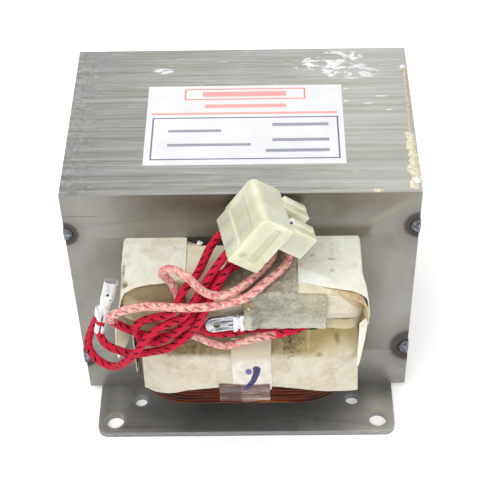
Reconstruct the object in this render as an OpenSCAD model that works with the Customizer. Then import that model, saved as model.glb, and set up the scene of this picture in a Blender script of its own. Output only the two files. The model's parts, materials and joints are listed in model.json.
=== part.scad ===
// High voltage transformer of a kitchen oven power supply.
// Welded E and I lamination core on a punched base plate. Copper primary at
// the bottom, paper wrapped high voltage secondary at the top, two magnetic
// shunts and a filament winding between them. Two filament leads end in a
// two-way flag connector and a straight push-on receptacle, with a jumper
// between the two.
// Millimetres. +Z up, +X right, and the lead side faces -Y.
// The origin is the centre of the base plate's underside.

/* [Core] */
// Width across the two outer legs
core_w = 105; // [104:0.5:108]
// Height of the E laminations
e_h = 70; // [70:0.5:74]
// Height of the I laminations
i_h = 17.5; // [17.5:0.5:20]
// Depth of the lamination stack
stack_d = 68; // [66:1:68]
// Width of the middle leg
leg_w = 35; // [34:0.5:35]
// How far the I stack is offset sideways
i_shift = 0.3; // [0:0.1:0.5]

/* [Base plate] */
// Width of the base plate
plate_w = 96.6; // [94:0.2:100]
// Depth of the base plate, front to back
plate_d = 107; // [105:1:112]
// Thickness of the base plate
plate_t = 2.3; // [2.3:0.1:2.5]
// Corner radius of the base plate
plate_r = 3; // [1:0.5:4]
// Diameter of the four outer holes
hole_big_d = 5.8; // [5:0.1:6.5]
// Distance between the outer holes, side to side
hole_big_x = 85.8; // [84:0.2:86.2]
// Distance between the outer holes, front to back
hole_big_y = 97.4; // [97:0.2:98]
// Diameter of the four inner holes
hole_small_d = 4.4; // [3.5:0.1:4.6]
// Distance between the inner holes, side to side
hole_small_x = 69.8; // [68:0.2:72]
// Distance between the inner holes, front to back
hole_small_y = 81; // [80:0.5:82]

/* [Windings] */
// Outer corner radius of the two large coils
coil_r = 17; // [12:1:18]
// Half depth of the primary coil
primary_y = 56; // [54:0.5:56]
// Half depth of the secondary coil
secondary_y = 55.5; // [54:0.5:55.5]
// Thickness of the paper sheets
paper_t = 0.5; // [0.4:0.05:0.5]

/* [Leads] */
// Diameter over the braid of the filament leads
wire_d = 2.5; // [2:0.1:2.5]
// Number of sides of the lead tubes
wire_sides = 8; // [8:1:12]

/* [Hidden] */

eps = 0.5;
zi = plate_t;                  // underside of the I stack
zj = plate_t + i_h;            // joint between I and E
zt = zj + e_h;                 // top of the core
leg_x = leg_w / 2;             // half width of the middle leg
win_w = 17.5;                  // width of each window
win_x = leg_x + win_w;         // outer side of a window
zw = zt - 17.5;                // top of the windows
half = core_w / 2;
sy = stack_d / 2;

// Coil levels, from the joint upwards
pz0 = zj + 0.5;  pz1 = zj + 23.9;      // primary coil
sh0 = zj + 25;   sh1 = zj + 31;        // shunts
fz0 = zj + 31.2; fz1 = zj + 36.4;      // filament winding
sz0 = zj + 37.2; sz1 = zw - 0.9;       // secondary coil
coil_x = win_x - 0.8;                  // half width of both coils
in_x = leg_x + 0.7;                    // inner half width of both coils
in_y = sy + 3.6;                       // inner half depth of both coils

// Weld seams: [x, z, radius of the groove]
weld_jl = [-half + 0.1, zi + 15.7, 3.4];
weld_jr = [half + 0.1, zi + 18.7, 3.4];
weld_ul = [-half + 0.1, zt - 15.6, 2.6];
weld_ur = [half - 0.1, zt - 13.8, 2.8];

// Routes of the leads, one point every two to three diameters. The leads are
// draped in loops over the front of the coils.
route_a = [[14.5, -43.5, 55], [14.5, -47, 55], [13.5, -51.5, 55],
    [9.5, -54.5, 55], [3, -55.5, 55.5], [-4, -57.5, 56], [-10.5, -58, 57.5],
    [-15, -58, 63], [-17.5, -58, 70], [-20, -55, 75.5], [-22, -56, 80],
    [-19.5, -58, 84], [-14.5, -60, 82.5], [-11, -60.5, 78], [-6, -60, 75],
    [0, -57, 75], [4.5, -52, 75], [8.5, -46.5, 75], [9, -41, 75],
    [4, -37.5, 75], [-1, -41.5, 76], [-2.5, -48, 76.5], [-6, -55, 75.5],
    [-9.5, -60.4, 71.5], [-12, -61.5, 65.5], [-15.5, -60.5, 59],
    [-21, -60.5, 53.5], [-27, -58.5, 49], [-33, -58.2, 47.8],
    [-37.8, -56.3, 47.6], [-41.4, -53.8, 47.5], [-43.1, -51.3, 50],
    [-42.5, -50.3, 53], [-41.6, -49.5, 56]];
route_b = [[21, -43.5, 52.5], [21, -47, 52.5], [20, -51, 53.5], [17, -55, 55],
    [11, -58, 56], [3, -58.5, 54.5], [-5, -58, 51], [-11, -58, 53.5],
    [-17, -58, 56.5], [-24, -58, 55], [-30.5, -58, 57], [-36, -58.5, 61.5],
    [-37.5, -61, 67.5], [-33, -62.5, 72], [-25.5, -62.5, 73.5],
    [-18, -63, 73.5], [-11, -63, 73.5], [-4.5, -61, 72.5], [2, -59.5, 74],
    [7, -55, 75], [12, -49.5, 75], [14, -44, 76], [11.5, -39.5, 77.5],
    [6, -40.5, 78.5], [2, -44.5, 75], [-2.5, -48, 73.8], [-7, -52, 73.8],
    [-11, -57.4, 72.2], [-13, -59.2, 67.5], [-16.5, -61.3, 63.6],
    [-21, -60.5, 58.5], [-25.5, -60.5, 55.5], [-30, -60.5, 58],
    [-30, -60.5, 63.5], [-25, -60.5, 66.5], [-19.5, -61, 69.5],
    [-16.5, -58.5, 74.8], [-13, -53, 75.5], [-10.5, -46, 75.5],
    [-8, -43, 79], [-4.8, -42.4, 83.2], [-3, -41.9, 85.6]];
route_j = [[-42.8, -47.1, 55.8], [-43.3, -47.6, 53.8], [-45, -48.8, 50.1],
    [-46.8, -48.8, 45.4], [-47.3, -50, 42.6], [-46.2, -51.8, 40.2],
    [-43.7, -53.6, 38.8], [-40.6, -55.6, 39], [-37.5, -58, 42],
    [-34.7, -60.8, 47.4], [-31, -63, 54], [-27.5, -63.3, 60.5],
    [-22.5, -62, 64.5], [-17, -61, 67], [-13, -60, 73], [-9.5, -55.3, 76.4],
    [-6, -51.5, 79.5], [-3, -50.9, 83.8], [-1.2, -50.4, 86.1]];

// ---------------------------------------------------------------- helpers

// Rectangle with round corners, centred
module rrect(w, d, r) {
    square([w - 2 * r, d], center = true);
    square([w, d - 2 * r], center = true);
    for (x = [-1, 1], y = [-1, 1])
        translate([x * (w / 2 - r), y * (d / 2 - r)]) circle(r = r, $fn = 48);
}

// Box from its low corner to its high corner
module box(lo, hi) {
    translate(lo) cube(hi - lo);
}

// Closed winding around the middle leg, between two levels
module winding(ox, oy, orad, ix, iy, irad, z0, z1) {
    translate([0, 0, z0]) linear_extrude(z1 - z0) difference() {
        rrect(2 * ox, 2 * oy, orad);
        rrect(2 * ix, 2 * iy, irad);
    }
}

// Round rod along Y through the whole stack
module seam(w, r, l) {
    translate([w[0], 0, w[1]]) rotate([90, 0, 0])
        cylinder(r = r, h = l, center = true, $fn = 48);
}

// Weld bead that fills its groove and stands slightly proud of the side
module bead(w, side) {
    intersection() {
        seam(w, w[2], stack_d);
        if (side < 0) box([-half - 0.4, -sy - 1, w[1] - 9], [0, sy + 1, w[1] + 9]);
        else box([0, -sy - 1, w[1] - 9], [half + 0.4, sy + 1, w[1] + 9]);
    }
}

// Functions for a tube along a route: the ring frames are carried along the
// route without twist
function unit(v) = v / norm(v);
function tangents(p) = [for (i = [0 : len(p) - 1])
    unit(i == 0 ? p[1] - p[0]
        : i == len(p) - 1 ? p[i] - p[i - 1]
        : unit(p[i] - p[i - 1]) + unit(p[i + 1] - p[i]))];
function square_to(n, t) = unit(n - (n * t) * t);
function normals(t, i = 0, n = [0, 0, 0], out = []) = i >= len(t) ? out :
    let (m = i == 0
        ? square_to(abs(t[0][2]) < 0.8 ? [0, 0, 1] : [1, 0, 0], t[0])
        : square_to(n, t[i]))
    normals(t, i + 1, m, concat(out, [m]));

module tube(p, d, k) {
    t = tangents(p);
    n = normals(t);
    r = d / 2;
    pts = [for (i = [0 : len(p) - 1]) for (j = [0 : k - 1])
        let (a = 360 * j / k)
        p[i] + r * cos(a) * n[i] + r * sin(a) * cross(t[i], n[i])];
    last = (len(p) - 1) * k;
    sides = [for (i = [0 : len(p) - 2]) for (j = [0 : k - 1])
        let (a = i * k + j, b = i * k + (j + 1) % k, c = b + k, e = a + k)
        each [[a, c, b], [a, e, c]]];
    ends = [[for (j = [0 : k - 1]) j],
        [for (j = [k - 1 : -1 : 0]) last + j]];
    polyhedron(points = pts, faces = concat(sides, ends), convexity = 10);
}

// Push-on blade, pointing up, with the corners of its tip cut and its hole
module blade(w, t, l, hole) {
    difference() {
        translate([0, t / 2, 0]) rotate([90, 0, 0]) linear_extrude(t)
            polygon([[-w / 2, 0], [w / 2, 0], [w / 2, l - 1.2],
                [w / 2 - 1.2, l], [-w / 2 + 1.2, l], [-w / 2, l - 1.2]]);
        translate([0, 0, l - 3.4]) rotate([90, 0, 0])
            cylinder(r = hole / 2, h = 4, center = true, $fn = 32);
    }
}

// ------------------------------------------------------------------- core

module base_plate() {
    color([0.42, 0.42, 0.40]) difference() {
        linear_extrude(plate_t) rrect(plate_w, plate_d, plate_r);
        for (x = [-1, 1], y = [-1, 1]) {
            translate([x * hole_big_x / 2, y * hole_big_y / 2, -1])
                cylinder(d = hole_big_d, h = plate_t + 2, $fn = 48);
            translate([x * hole_small_x / 2, y * hole_small_y / 2, -1])
                cylinder(d = hole_small_d, h = plate_t + 2, $fn = 48);
        }
    }
}

module i_laminations() {
    color([0.52, 0.51, 0.49]) difference() {
        box([-half + i_shift, -sy, zi], [half + i_shift, sy, zj]);
        seam(weld_jl, weld_jl[2], stack_d + 2);
        seam(weld_jr, weld_jr[2], stack_d + 2);
    }
}

module e_laminations() {
    color([0.48, 0.47, 0.45]) difference() {
        box([-half, -sy, zj], [half, sy, zt]);
        for (s = [-1, 1])
            translate([s * (leg_x + win_w / 2) - win_w / 2, -sy - 1, zj - 1])
                cube([win_w, stack_d + 2, zw - zj + 1]);
        for (w = [weld_jl, weld_jr, weld_ul, weld_ur])
            seam(w, w[2], stack_d + 2);
    }
}

module joint_weld_left() { color([0.30, 0.31, 0.34]) bead(weld_jl, -1); }
module joint_weld_right() { color([0.30, 0.31, 0.34]) bead(weld_jr, 1); }
module upper_weld_left() { color([0.30, 0.31, 0.34]) bead(weld_ul, -1); }
module upper_weld_right() { color([0.30, 0.31, 0.34]) bead(weld_ur, 1); }

// Fillets in the step between the plate's edge and the I stack above it
module plate_welds() {
    color([0.33, 0.33, 0.35])
    for (s = [-1, 1], y = [-24, 10])
        translate([s * plate_w / 2, y + 14, 0]) rotate([90, 0, 0])
            linear_extrude(14) polygon([[0, plate_t], [0, 0.3],
                [s * 0.7, 0.8], [s * 2, plate_t]]);
}

// --------------------------------------------------------------- windings

module primary_former() {
    color([0.80, 0.75, 0.62])
        winding(in_x, in_y, 1.5, leg_x + 0.1, in_y - 0.6, 1, zj, pz1 + 0.5);
}

module primary_coil() {
    color([0.62, 0.28, 0.12])
        winding(coil_x, primary_y, coil_r, in_x, in_y, 1.5, pz0, pz1);
}

module primary_liner_left() {
    color([0.88, 0.84, 0.74])
        box([-win_x + 0.1, -42.5, zj], [-win_x + 0.6, 42.5, zj + 19]);
}
module primary_liner_right() {
    color([0.88, 0.84, 0.74])
        box([win_x - 0.6, -42.5, zj], [win_x - 0.1, 42.5, zj + 19]);
}

// Paper over the front of the primary: its lower edge is cut up in the middle
module primary_front_sheet() {
    color([0.89, 0.85, 0.75])
        translate([0, -primary_y, 0]) rotate([90, 0, 0])
            linear_extrude(paper_t) polygon([[-31.6, zj + 0.7],
                [-26, zj + 4], [-18, zj + 8.2], [-3.6, zj + 10.2],
                [10, zj + 9.8], [18, zj + 8.2], [28, zj + 4.5],
                [35.5, zj + 0.7], [34.4, zj + 19],
                [34.4, zj + 33.4], [-31, zj + 33.4]]);
}
module primary_back_sheet() {
    color([0.89, 0.85, 0.75])
        box([-33, primary_y, zj + 4], [33, primary_y + paper_t, zj + 31.5]);
}

// Magnetic shunts across the two windows
module shunt() {
    box([leg_x + 0.1, -sy, sh0], [win_x - 0.6, sy, sh1]);
}
module left_shunt() { color([0.45, 0.44, 0.42]) mirror([1, 0, 0]) shunt(); }
module right_shunt() { color([0.45, 0.44, 0.42]) shunt(); }

module filament_winding() {
    color([0.82, 0.35, 0.38])
        winding(25.3, 43.5, 3, leg_x + 0.6, 36, 2, fz0, fz1);
}

module secondary_former() {
    color([0.80, 0.75, 0.62]) winding(in_x, in_y, 1.5, leg_x + 0.1,
        in_y - 0.6, 1, sz0 - 0.4, sz1);
}

module secondary_coil() {
    color([0.78, 0.70, 0.52])
        winding(coil_x, secondary_y, coil_r, in_x, in_y, 1.5, sz0, sz1);
}

// Upright paper faces over the two ends of the secondary
module secondary_front_sheet() {
    color([0.70, 0.63, 0.50])
        box([-coil_x - 0.2, -secondary_y - 1, sz0 + 0.6],
            [coil_x + 0.2, -secondary_y - 1 + paper_t, sz1 - 1.4]);
}
module secondary_back_sheet() {
    color([0.70, 0.63, 0.50])
        box([-coil_x - 0.2, secondary_y + 1 - paper_t, sz0 + 0.6],
            [coil_x + 0.2, secondary_y + 1, sz1 - 1.4]);
}

// Papers that cover the top of the secondary outside the core
module top_sheet_front() {
    color([0.86, 0.82, 0.70])
        box([-coil_x, -secondary_y + 0.3, sz1], [coil_x, -sy - 0.2, zw - paper_t]);
}
module top_sheet_back() {
    color([0.86, 0.82, 0.70])
        box([-coil_x, sy + 0.2, sz1], [coil_x, secondary_y - 0.3, zw - paper_t]);
}

// Folded slot liner: a flap over the top of the coil and a side wall that
// hangs down between the coil and the outer leg
module slot_liner(inner, outer, flap_y, wall_y, flare) {
    z1 = zw;
    z0 = zw - paper_t;
    box([leg_x + 0.1, -sy, z0], [win_x, sy, z1]);
    box([inner, -flap_y, z0], [outer, -sy - 0.1, z1]);
    box([inner, sy + 0.1, z0], [outer, 56.5, z1]);
    box([leg_x + 0.1, -sy - 0.2, z0], [win_x, -sy, z1]);
    box([leg_x + 0.1, sy, z0], [win_x, sy + 0.2, z1]);
    // the wall flares outwards where it leaves the core
    translate([0, 0, zw - 33.3]) linear_extrude(33.3 - paper_t) polygon([
        [win_x - 0.5, 57], [win_x - 0.5, -44], [win_x + flare - 0.5, -wall_y],
        [win_x + flare, -wall_y], [win_x, -44], [win_x, 57]]);
}
module left_slot_liner() {
    color([0.90, 0.88, 0.80]) mirror([1, 0, 0])
        slot_liner(16, 35.4, 55.2, 52, 2.2);
}
module right_slot_liner() {
    color([0.90, 0.88, 0.80]) slot_liner(16.5, 35.5, 56.5, 57.5, 1.6);
}

// ----------------------------------------------------- high voltage outlet

// Soaked board folded over the front edge of the secondary
module hv_pad() {
    color([0.62, 0.62, 0.56]) {
        box([0.5, -57.7, sz0 + 0.8], [24.5, -56.5, zw - 0.5]);
        box([0.5, -57.7, zw - 0.5], [16.2, -38, zw + 0.6]);
    }
}

// Push-on tab that leans off the board, with its crimped root
module hv_tab() {
    color([0.72, 0.73, 0.75])
    translate([0.8, -58.6, 62.6]) rotate([0, 0, 8]) {
        rotate([0, -90, 0]) blade(6.35, 0.8, 11.6, 1.8);
        box([-0.2, -0.9, -2.6], [3.4, 0.4, 2.6]);
    }
}

// ------------------------------------------------------------------ tapes

module white_tape() {
    color([0.90, 0.90, 0.88])
        box([-3.4, -56.7, zj + 13.2], [8.4, -56.5, zj + 30.5]);
}
module clear_tape() {
    color([0.49, 0.38, 0.44])
        box([-6.7, -56.7, zj + 4.9], [8, -56.5, zj + 13.2]);
}

// -------------------------------------------------------- back terminals

// Fibre board riveted blades for the primary, on the side away from the leads
module primary_terminal_board() {
    color([0.30, 0.20, 0.13]) difference() {
        box([-16, 56.5, 26], [16, 58.1, 44]);
        for (s = [-1, 1]) translate([s * 9, 57.3, 30]) rotate([90, 0, 0])
            cylinder(r = 1.2, h = 4, center = true, $fn = 32);
    }
}
module primary_tab(x) {
    color([0.76, 0.77, 0.78]) {
        translate([x, 62.9, 31]) rotate([-24, 0, 0]) blade(6.35, 0.8, 13, 1.8);
        box([x - 3.175, 58.1, 27], [x + 3.175, 58.9, 33]);
        box([x - 3.175, 58.9, 30.6], [x + 3.175, 63.2, 31.4]);
        translate([x, 57.5, 30]) rotate([90, 0, 0])
            cylinder(r = 1.2, h = 2, center = true, $fn = 32);
    }
}
module primary_tab_left() { primary_tab(-9); }
module primary_tab_right() { primary_tab(9); }

// Earthed end of the secondary, welded to the back of the core
module ground_tag() {
    color([0.74, 0.74, 0.72]) {
        box([22, sy, 76], [30, sy + 0.8, 84]);
        box([24.5, sy + 0.8, 73.5], [27.5, sy + 2.6, 78]);
        translate([26, sy + 1.7, 72.3]) cylinder(r = 0.6, h = 1.3, $fn = 24);
    }
}

module label() {
    color([0.94, 0.94, 0.93])
        box([-28.9, -21.5, zt], [31.2, 15.3, zt + 0.15]);
}

// -------------------------------------------------- connector, receptacle

// Local frame of the connector: X towards the mating side, Y along its
// length, Z towards the side where the leads enter
module connector_frame() {
    translate([2.9, -35.3, 97]) rotate([175.3, 39, 8.7]) children();
}
plug_len = 18.9;
plug_in = 16.6;
lead_y = [4.5, 13.2];          // leads along the connector's length
prong_y = [3.5, 13.2];         // low side of the two mating prongs

module connector_housing() {
    color([0.88, 0.90, 0.80]) connector_frame() difference() {
        union() {
            // body with one large round edge
            translate([0, plug_len, 0]) rotate([90, 0, 0])
                linear_extrude(plug_len) union() {
                    translate([2.2, -0.8]) square([8.2, 12.8]);
                    translate([0, 1.4]) square([10.4, 10.6]);
                    translate([2.2, 1.4]) circle(r = 2.2, $fn = 48);
                }
            // collar around the leads
            box([0, 0.6, 11.9], [10.4, plug_len - 0.1, plug_in]);
            // two mating prongs, each with its key
            for (y = prong_y) {
                box([10.3, y, -1], [19.2, y + 4.6, 7]);
                box([10.3, y, -1.8], [18.2, y + 2.2, -0.9]);
            }
        }
        // channels for the leads
        for (y = lead_y) {
            translate([1.95, y, 12.2]) cylinder(r = 1.5, h = 6, $fn = 32);
            translate([1.95, y, 5]) cylinder(r = 0.9, h = 9, $fn = 24);
        }
        // cavities for the receptacles
        for (y = prong_y) box([2.4, y + 0.9, 0.2], [20, y + 3.8, 6.2]);
        // outer recesses
        box([-1, 2.2, 4.4], [0.4, 17.4, 10.8]);
        box([5.1, 18.3, 1], [7.5, 20, 14]);
        translate([2.6, 18.2, 13]) rotate([-90, 0, 0])
            cylinder(r = 1, h = 2, $fn = 32);
    }
}

module connector_terminals() {
    color([0.80, 0.79, 0.74]) connector_frame() for (y = prong_y) difference() {
        union() {
            box([9, y + 1.2, 0.5], [18.2, y + 3.5, 5.9]);
            box([3.6, y + 1.3, 2.2], [9, y + 2, 5.2]);
        }
        box([9.8, y + 1.85, 1.1], [19, y + 2.85, 5.3]);
        box([9.8, y + 2.05, 0], [19, y + 2.65, 2]);
    }
}

// Straight push-on receptacle at the end of lead A
module receptacle() {
    color([0.85, 0.86, 0.87])
    translate([-43.2, -51, 49.8]) rotate([-13, 15, 0]) {
        // socket with rolled sides
        translate([0.2, 0, 11.2]) difference() {
            box([-2.05, -1.3, 0], [2.05, 1.3, 7.4]);
            box([-1.6, -0.85, 0.8], [1.6, 0.85, 8]);
            box([-0.5, -2, 1.6], [0.5, 0, 8]);
        }
        // wire barrel
        translate([0, 0, 7]) cylinder(r = 1.4, h = 4.4, $fn = 32);
        // two bands crimped over the sleeves, on one spine
        difference() {
            union() {
                cylinder(r = 1.65, h = 3, $fn = 32);
                hull() for (q = [[0, 0], [-0.9, 2.3]])
                    translate([q[0], q[1], 4.4])
                        cylinder(r = 1.65, h = 3, $fn = 32);
                box([1.2, -0.7, 0], [1.65, 0.7, 7.6]);
            }
            translate([0, 0, -1]) cylinder(r = 1.27, h = 7.9, $fn = 32);
            hull() for (q = [[0, 0], [-0.9, 2.3]])
                translate([q[0], q[1], 3.9])
                    cylinder(r = 1.27, h = 3, $fn = 32);
        }
    }
}

// ------------------------------------------------------------------ leads

module lead_a() { color([0.80, 0.14, 0.21]) tube(route_a, wire_d, wire_sides); }
module lead_b() { color([0.84, 0.30, 0.33]) tube(route_b, wire_d, wire_sides); }
module jumper() { color([0.76, 0.12, 0.19]) tube(route_j, wire_d, wire_sides); }

base_plate();
i_laminations();
e_laminations();
joint_weld_left();
joint_weld_right();
upper_weld_left();
upper_weld_right();
plate_welds();
primary_former();
primary_coil();
primary_liner_left();
primary_liner_right();
primary_front_sheet();
primary_back_sheet();
left_shunt();
right_shunt();
filament_winding();
secondary_former();
secondary_coil();
secondary_front_sheet();
secondary_back_sheet();
top_sheet_front();
top_sheet_back();
left_slot_liner();
right_slot_liner();
hv_pad();
hv_tab();
white_tape();
clear_tape();
primary_terminal_board();
primary_tab_left();
primary_tab_right();
ground_tag();
label();
connector_housing();
connector_terminals();
receptacle();
lead_a();
lead_b();
jumper();
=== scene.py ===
import json
import math

import bpy
import numpy as np
from mathutils import Matrix, Vector, noise as mnoise

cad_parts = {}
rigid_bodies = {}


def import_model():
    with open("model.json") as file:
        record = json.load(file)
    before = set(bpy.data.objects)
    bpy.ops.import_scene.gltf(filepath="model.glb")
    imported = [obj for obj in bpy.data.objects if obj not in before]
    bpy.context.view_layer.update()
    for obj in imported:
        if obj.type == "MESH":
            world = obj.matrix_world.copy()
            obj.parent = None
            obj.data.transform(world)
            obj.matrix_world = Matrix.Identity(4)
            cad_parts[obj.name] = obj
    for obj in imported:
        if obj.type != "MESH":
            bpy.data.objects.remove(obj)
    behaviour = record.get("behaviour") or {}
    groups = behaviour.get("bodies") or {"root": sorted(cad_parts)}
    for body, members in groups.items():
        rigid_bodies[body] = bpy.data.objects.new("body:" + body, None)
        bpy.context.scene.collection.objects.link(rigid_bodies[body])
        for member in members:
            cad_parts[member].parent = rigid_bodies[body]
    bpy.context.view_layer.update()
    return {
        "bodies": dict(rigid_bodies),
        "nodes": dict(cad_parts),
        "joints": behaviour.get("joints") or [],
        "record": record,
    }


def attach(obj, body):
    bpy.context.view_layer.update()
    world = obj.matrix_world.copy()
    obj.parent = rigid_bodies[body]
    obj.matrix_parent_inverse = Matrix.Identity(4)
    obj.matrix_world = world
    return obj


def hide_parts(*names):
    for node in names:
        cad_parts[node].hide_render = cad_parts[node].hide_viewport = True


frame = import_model()
NODES = frame["nodes"]
MM = 0.001
scene = bpy.context.scene
scene.view_settings.view_transform = "Standard"
scene.view_settings.look = "None"


def col(r, g, b):
    """Screen colour 0-255 as a linear colour."""
    out = []
    for c in (r, g, b):
        c = c / 255.0
        out.append(c / 12.92 if c <= 0.04045 else ((c + 0.055) / 1.055) ** 2.4)
    return (*out, 1.0)


# ------------------------------------------------------------------ camera

cam_data = bpy.data.cameras.new("camera")
cam = bpy.data.objects.new("camera", cam_data)
scene.collection.objects.link(cam)
scene.camera = cam
cam_data.sensor_width = 36.0
cam_data.sensor_fit = "HORIZONTAL"
cam_data.lens = 95.357
cam_data.clip_start, cam_data.clip_end = 0.01, 20
right = Vector((0.9998166, 0.0029904, -0.0189163))
down = Vector((-0.0110649, -0.7159911, -0.6980217))
ahead = Vector((-0.0156313, 0.6981030, -0.7158267))
cam.matrix_world = Matrix((
    (right.x, -down.x, -ahead.x, 8.61 * MM),
    (right.y, -down.y, -ahead.y, -311.34 * MM),
    (right.z, -down.z, -ahead.z, 351.06 * MM),
    (0, 0, 0, 1)))


# --------------------------------------------------------- mesh and helpers

def add(name, verts, faces, mat=None, smooth=True, scale=MM):
    me = bpy.data.meshes.new(name)
    me.from_pydata([tuple(float(c) * scale for c in v) for v in verts], [], [tuple(int(i) for i in f) for f in faces])
    me.validate()
    me.update()
    if smooth:
        me.polygons.foreach_set("use_smooth", [True] * len(me.polygons))
    ob = bpy.data.objects.new(name, me)
    scene.collection.objects.link(ob)
    if mat is not None:
        me.materials.append(mat)
    return ob


def piece(ob, stands_for=()):
    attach(ob, "root")
    if stands_for:
        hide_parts(*stands_for)
    return ob


def bake(ob):
    """Applies the modifiers of a piece."""
    dg = bpy.context.evaluated_depsgraph_get()
    me = bpy.data.meshes.new_from_object(ob.evaluated_get(dg))
    old = ob.data
    mats = [m for m in old.materials]
    ob.modifiers.clear()
    if ob.type == "MESH":
        ob.data = me
        if not me.materials:
            for m in mats:
                me.materials.append(m)
        return ob
    new = bpy.data.objects.new(ob.name + "_m", me)
    scene.collection.objects.link(new)
    new.matrix_world = ob.matrix_world.copy()
    name = ob.name
    bpy.data.objects.remove(ob)
    new.name = name
    return new


def set_into_place(ob, m):
    ob.data.transform(m)
    ob.data.update()
    return ob


def smooth_by_angle(ob, deg=35):
    """Smooth shading that keeps the sharp edges."""
    me = ob.data
    me.polygons.foreach_set("use_smooth", [True] * len(me.polygons))
    me.set_sharp_from_angle(angle=math.radians(deg))


def arc(cx, cy, r, a0, a1, n):
    return [(cx + r * math.cos(math.radians(a0 + (a1 - a0) * i / n)),
             cy + r * math.sin(math.radians(a0 + (a1 - a0) * i / n))) for i in range(n + 1)]


def round_rect(hx, hy, r, n=10):
    out = []
    for cx, cy, a in ((hx - r, hy - r, 0), (-hx + r, hy - r, 90), (-hx + r, -hy + r, 180), (hx - r, -hy + r, 270)):
        out += arc(cx, cy, r, a, a + 90, n)
    return out


def cut(ob, *cutters):
    for c in cutters:
        m = ob.modifiers.new("cut", "BOOLEAN")
        m.operation = "DIFFERENCE"
        m.solver = "EXACT"
        m.object = c
    bpy.context.view_layer.update()
    bake(ob)
    for c in cutters:
        bpy.data.objects.remove(c)
    return ob


def cylinder(p0, p1, r, n=40, name="cyl", mat=None):
    p0, p1 = Vector(p0), Vector(p1)
    d = (p1 - p0).normalized()
    a = d.orthogonal().normalized()
    b = d.cross(a)
    v, f = [], []
    for p in (p0, p1):
        for i in range(n):
            t = 2 * math.pi * i / n
            v.append(p + r * math.cos(t) * a + r * math.sin(t) * b)
    for i in range(n):
        j = (i + 1) % n
        f.append((i, j, n + j, n + i))
    f.append(tuple(range(n - 1, -1, -1)))
    f.append(tuple(range(n, 2 * n)))
    return add(name, v, f, mat, smooth=False)


def sheet(name, P, thick, mat, closed_u=False):
    """Paper from a grid of points P[i][j], with a thickness."""
    P = np.asarray(P, float)
    nu, nv = P.shape[:2]
    du = np.gradient(P, axis=0)
    dv = np.gradient(P, axis=1)
    n = np.cross(du, dv)
    n /= np.maximum(np.linalg.norm(n, axis=2, keepdims=True), 1e-9)
    top, bot = P + n * thick / 2, P - n * thick / 2
    verts = np.concatenate([top.reshape(-1, 3), bot.reshape(-1, 3)])
    k = nu * nv
    f = []
    for i in range(nu - 1):
        for j in range(nv - 1):
            a, b, c, d = i * nv + j, (i + 1) * nv + j, (i + 1) * nv + j + 1, i * nv + j + 1
            f.append((a, b, c, d))
            f.append((k + a, k + d, k + c, k + b))
    rim = [(i, 0) for i in range(nu)] + [(nu - 1, j) for j in range(1, nv)] \
        + [(i, nv - 1) for i in range(nu - 2, -1, -1)] + [(0, j) for j in range(nv - 2, 0, -1)]
    rim = [i * nv + j for i, j in rim]
    for a, b in zip(rim, rim[1:] + rim[:1]):
        f.append((b, a, k + a, k + b))
    ob = add(name, verts, f, mat)
    ob.data.set_sharp_from_angle(angle=math.radians(50))
    return ob


def grid(nu, nv, fn):
    return np.array([[fn(i / (nu - 1), j / (nv - 1)) for j in range(nv)] for i in range(nu)], float)


def wob(x, y, z, s=0.1, seed=0.0):
    """Smooth noise from -1 to 1 at a point in mm; s is its frequency per mm."""
    return mnoise.noise(Vector((x * s + seed, y * s - seed, z * s + 2 * seed)))


def lerp(a, b, t):
    return a + (b - a) * t


def sstep(a, b, x):
    t = min(1.0, max(0.0, (x - a) / (b - a)))
    return t * t * (3 - 2 * t)


def from_cad(name, node, mat, voxel=0.25, smooth=3, factor=0.5, lump=0.0, seed=0.0, extra=()):
    """A finer copy of a machined or moulded node: its edges come out softly rounded."""
    src = NODES[node]
    me = src.data.copy()
    me.materials.clear()
    ob = bpy.data.objects.new(name, me)
    scene.collection.objects.link(ob)
    m = ob.modifiers.new("r", "REMESH")
    m.mode = "VOXEL"
    m.voxel_size = voxel * MM
    m = ob.modifiers.new("s", "SMOOTH")
    m.factor = factor
    m.iterations = smooth
    bake(ob)
    if lump:
        co = np.zeros(len(ob.data.vertices) * 3, np.float32)
        ob.data.vertices.foreach_get("co", co)
        no = np.zeros_like(co)
        ob.data.vertices.foreach_get("normal", no)
        co, no = co.reshape(-1, 3), no.reshape(-1, 3)
        d = np.array([wob(*(c * 1000), s=0.45, seed=seed) * 0.7 + wob(*(c * 1000), s=1.3, seed=seed + 5) * 0.3 for c in co])
        co = co + no * (d * lump * MM)[:, None]
        ob.data.vertices.foreach_set("co", co.astype(np.float32).ravel())
        ob.data.update()
    ob.data.polygons.foreach_set("use_smooth", [True] * len(ob.data.polygons))
    ob.data.materials.clear()
    ob.data.materials.append(mat)
    piece(ob, (node, *extra))
    return ob


# ------------------------------------------------------------ material kit

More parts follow.
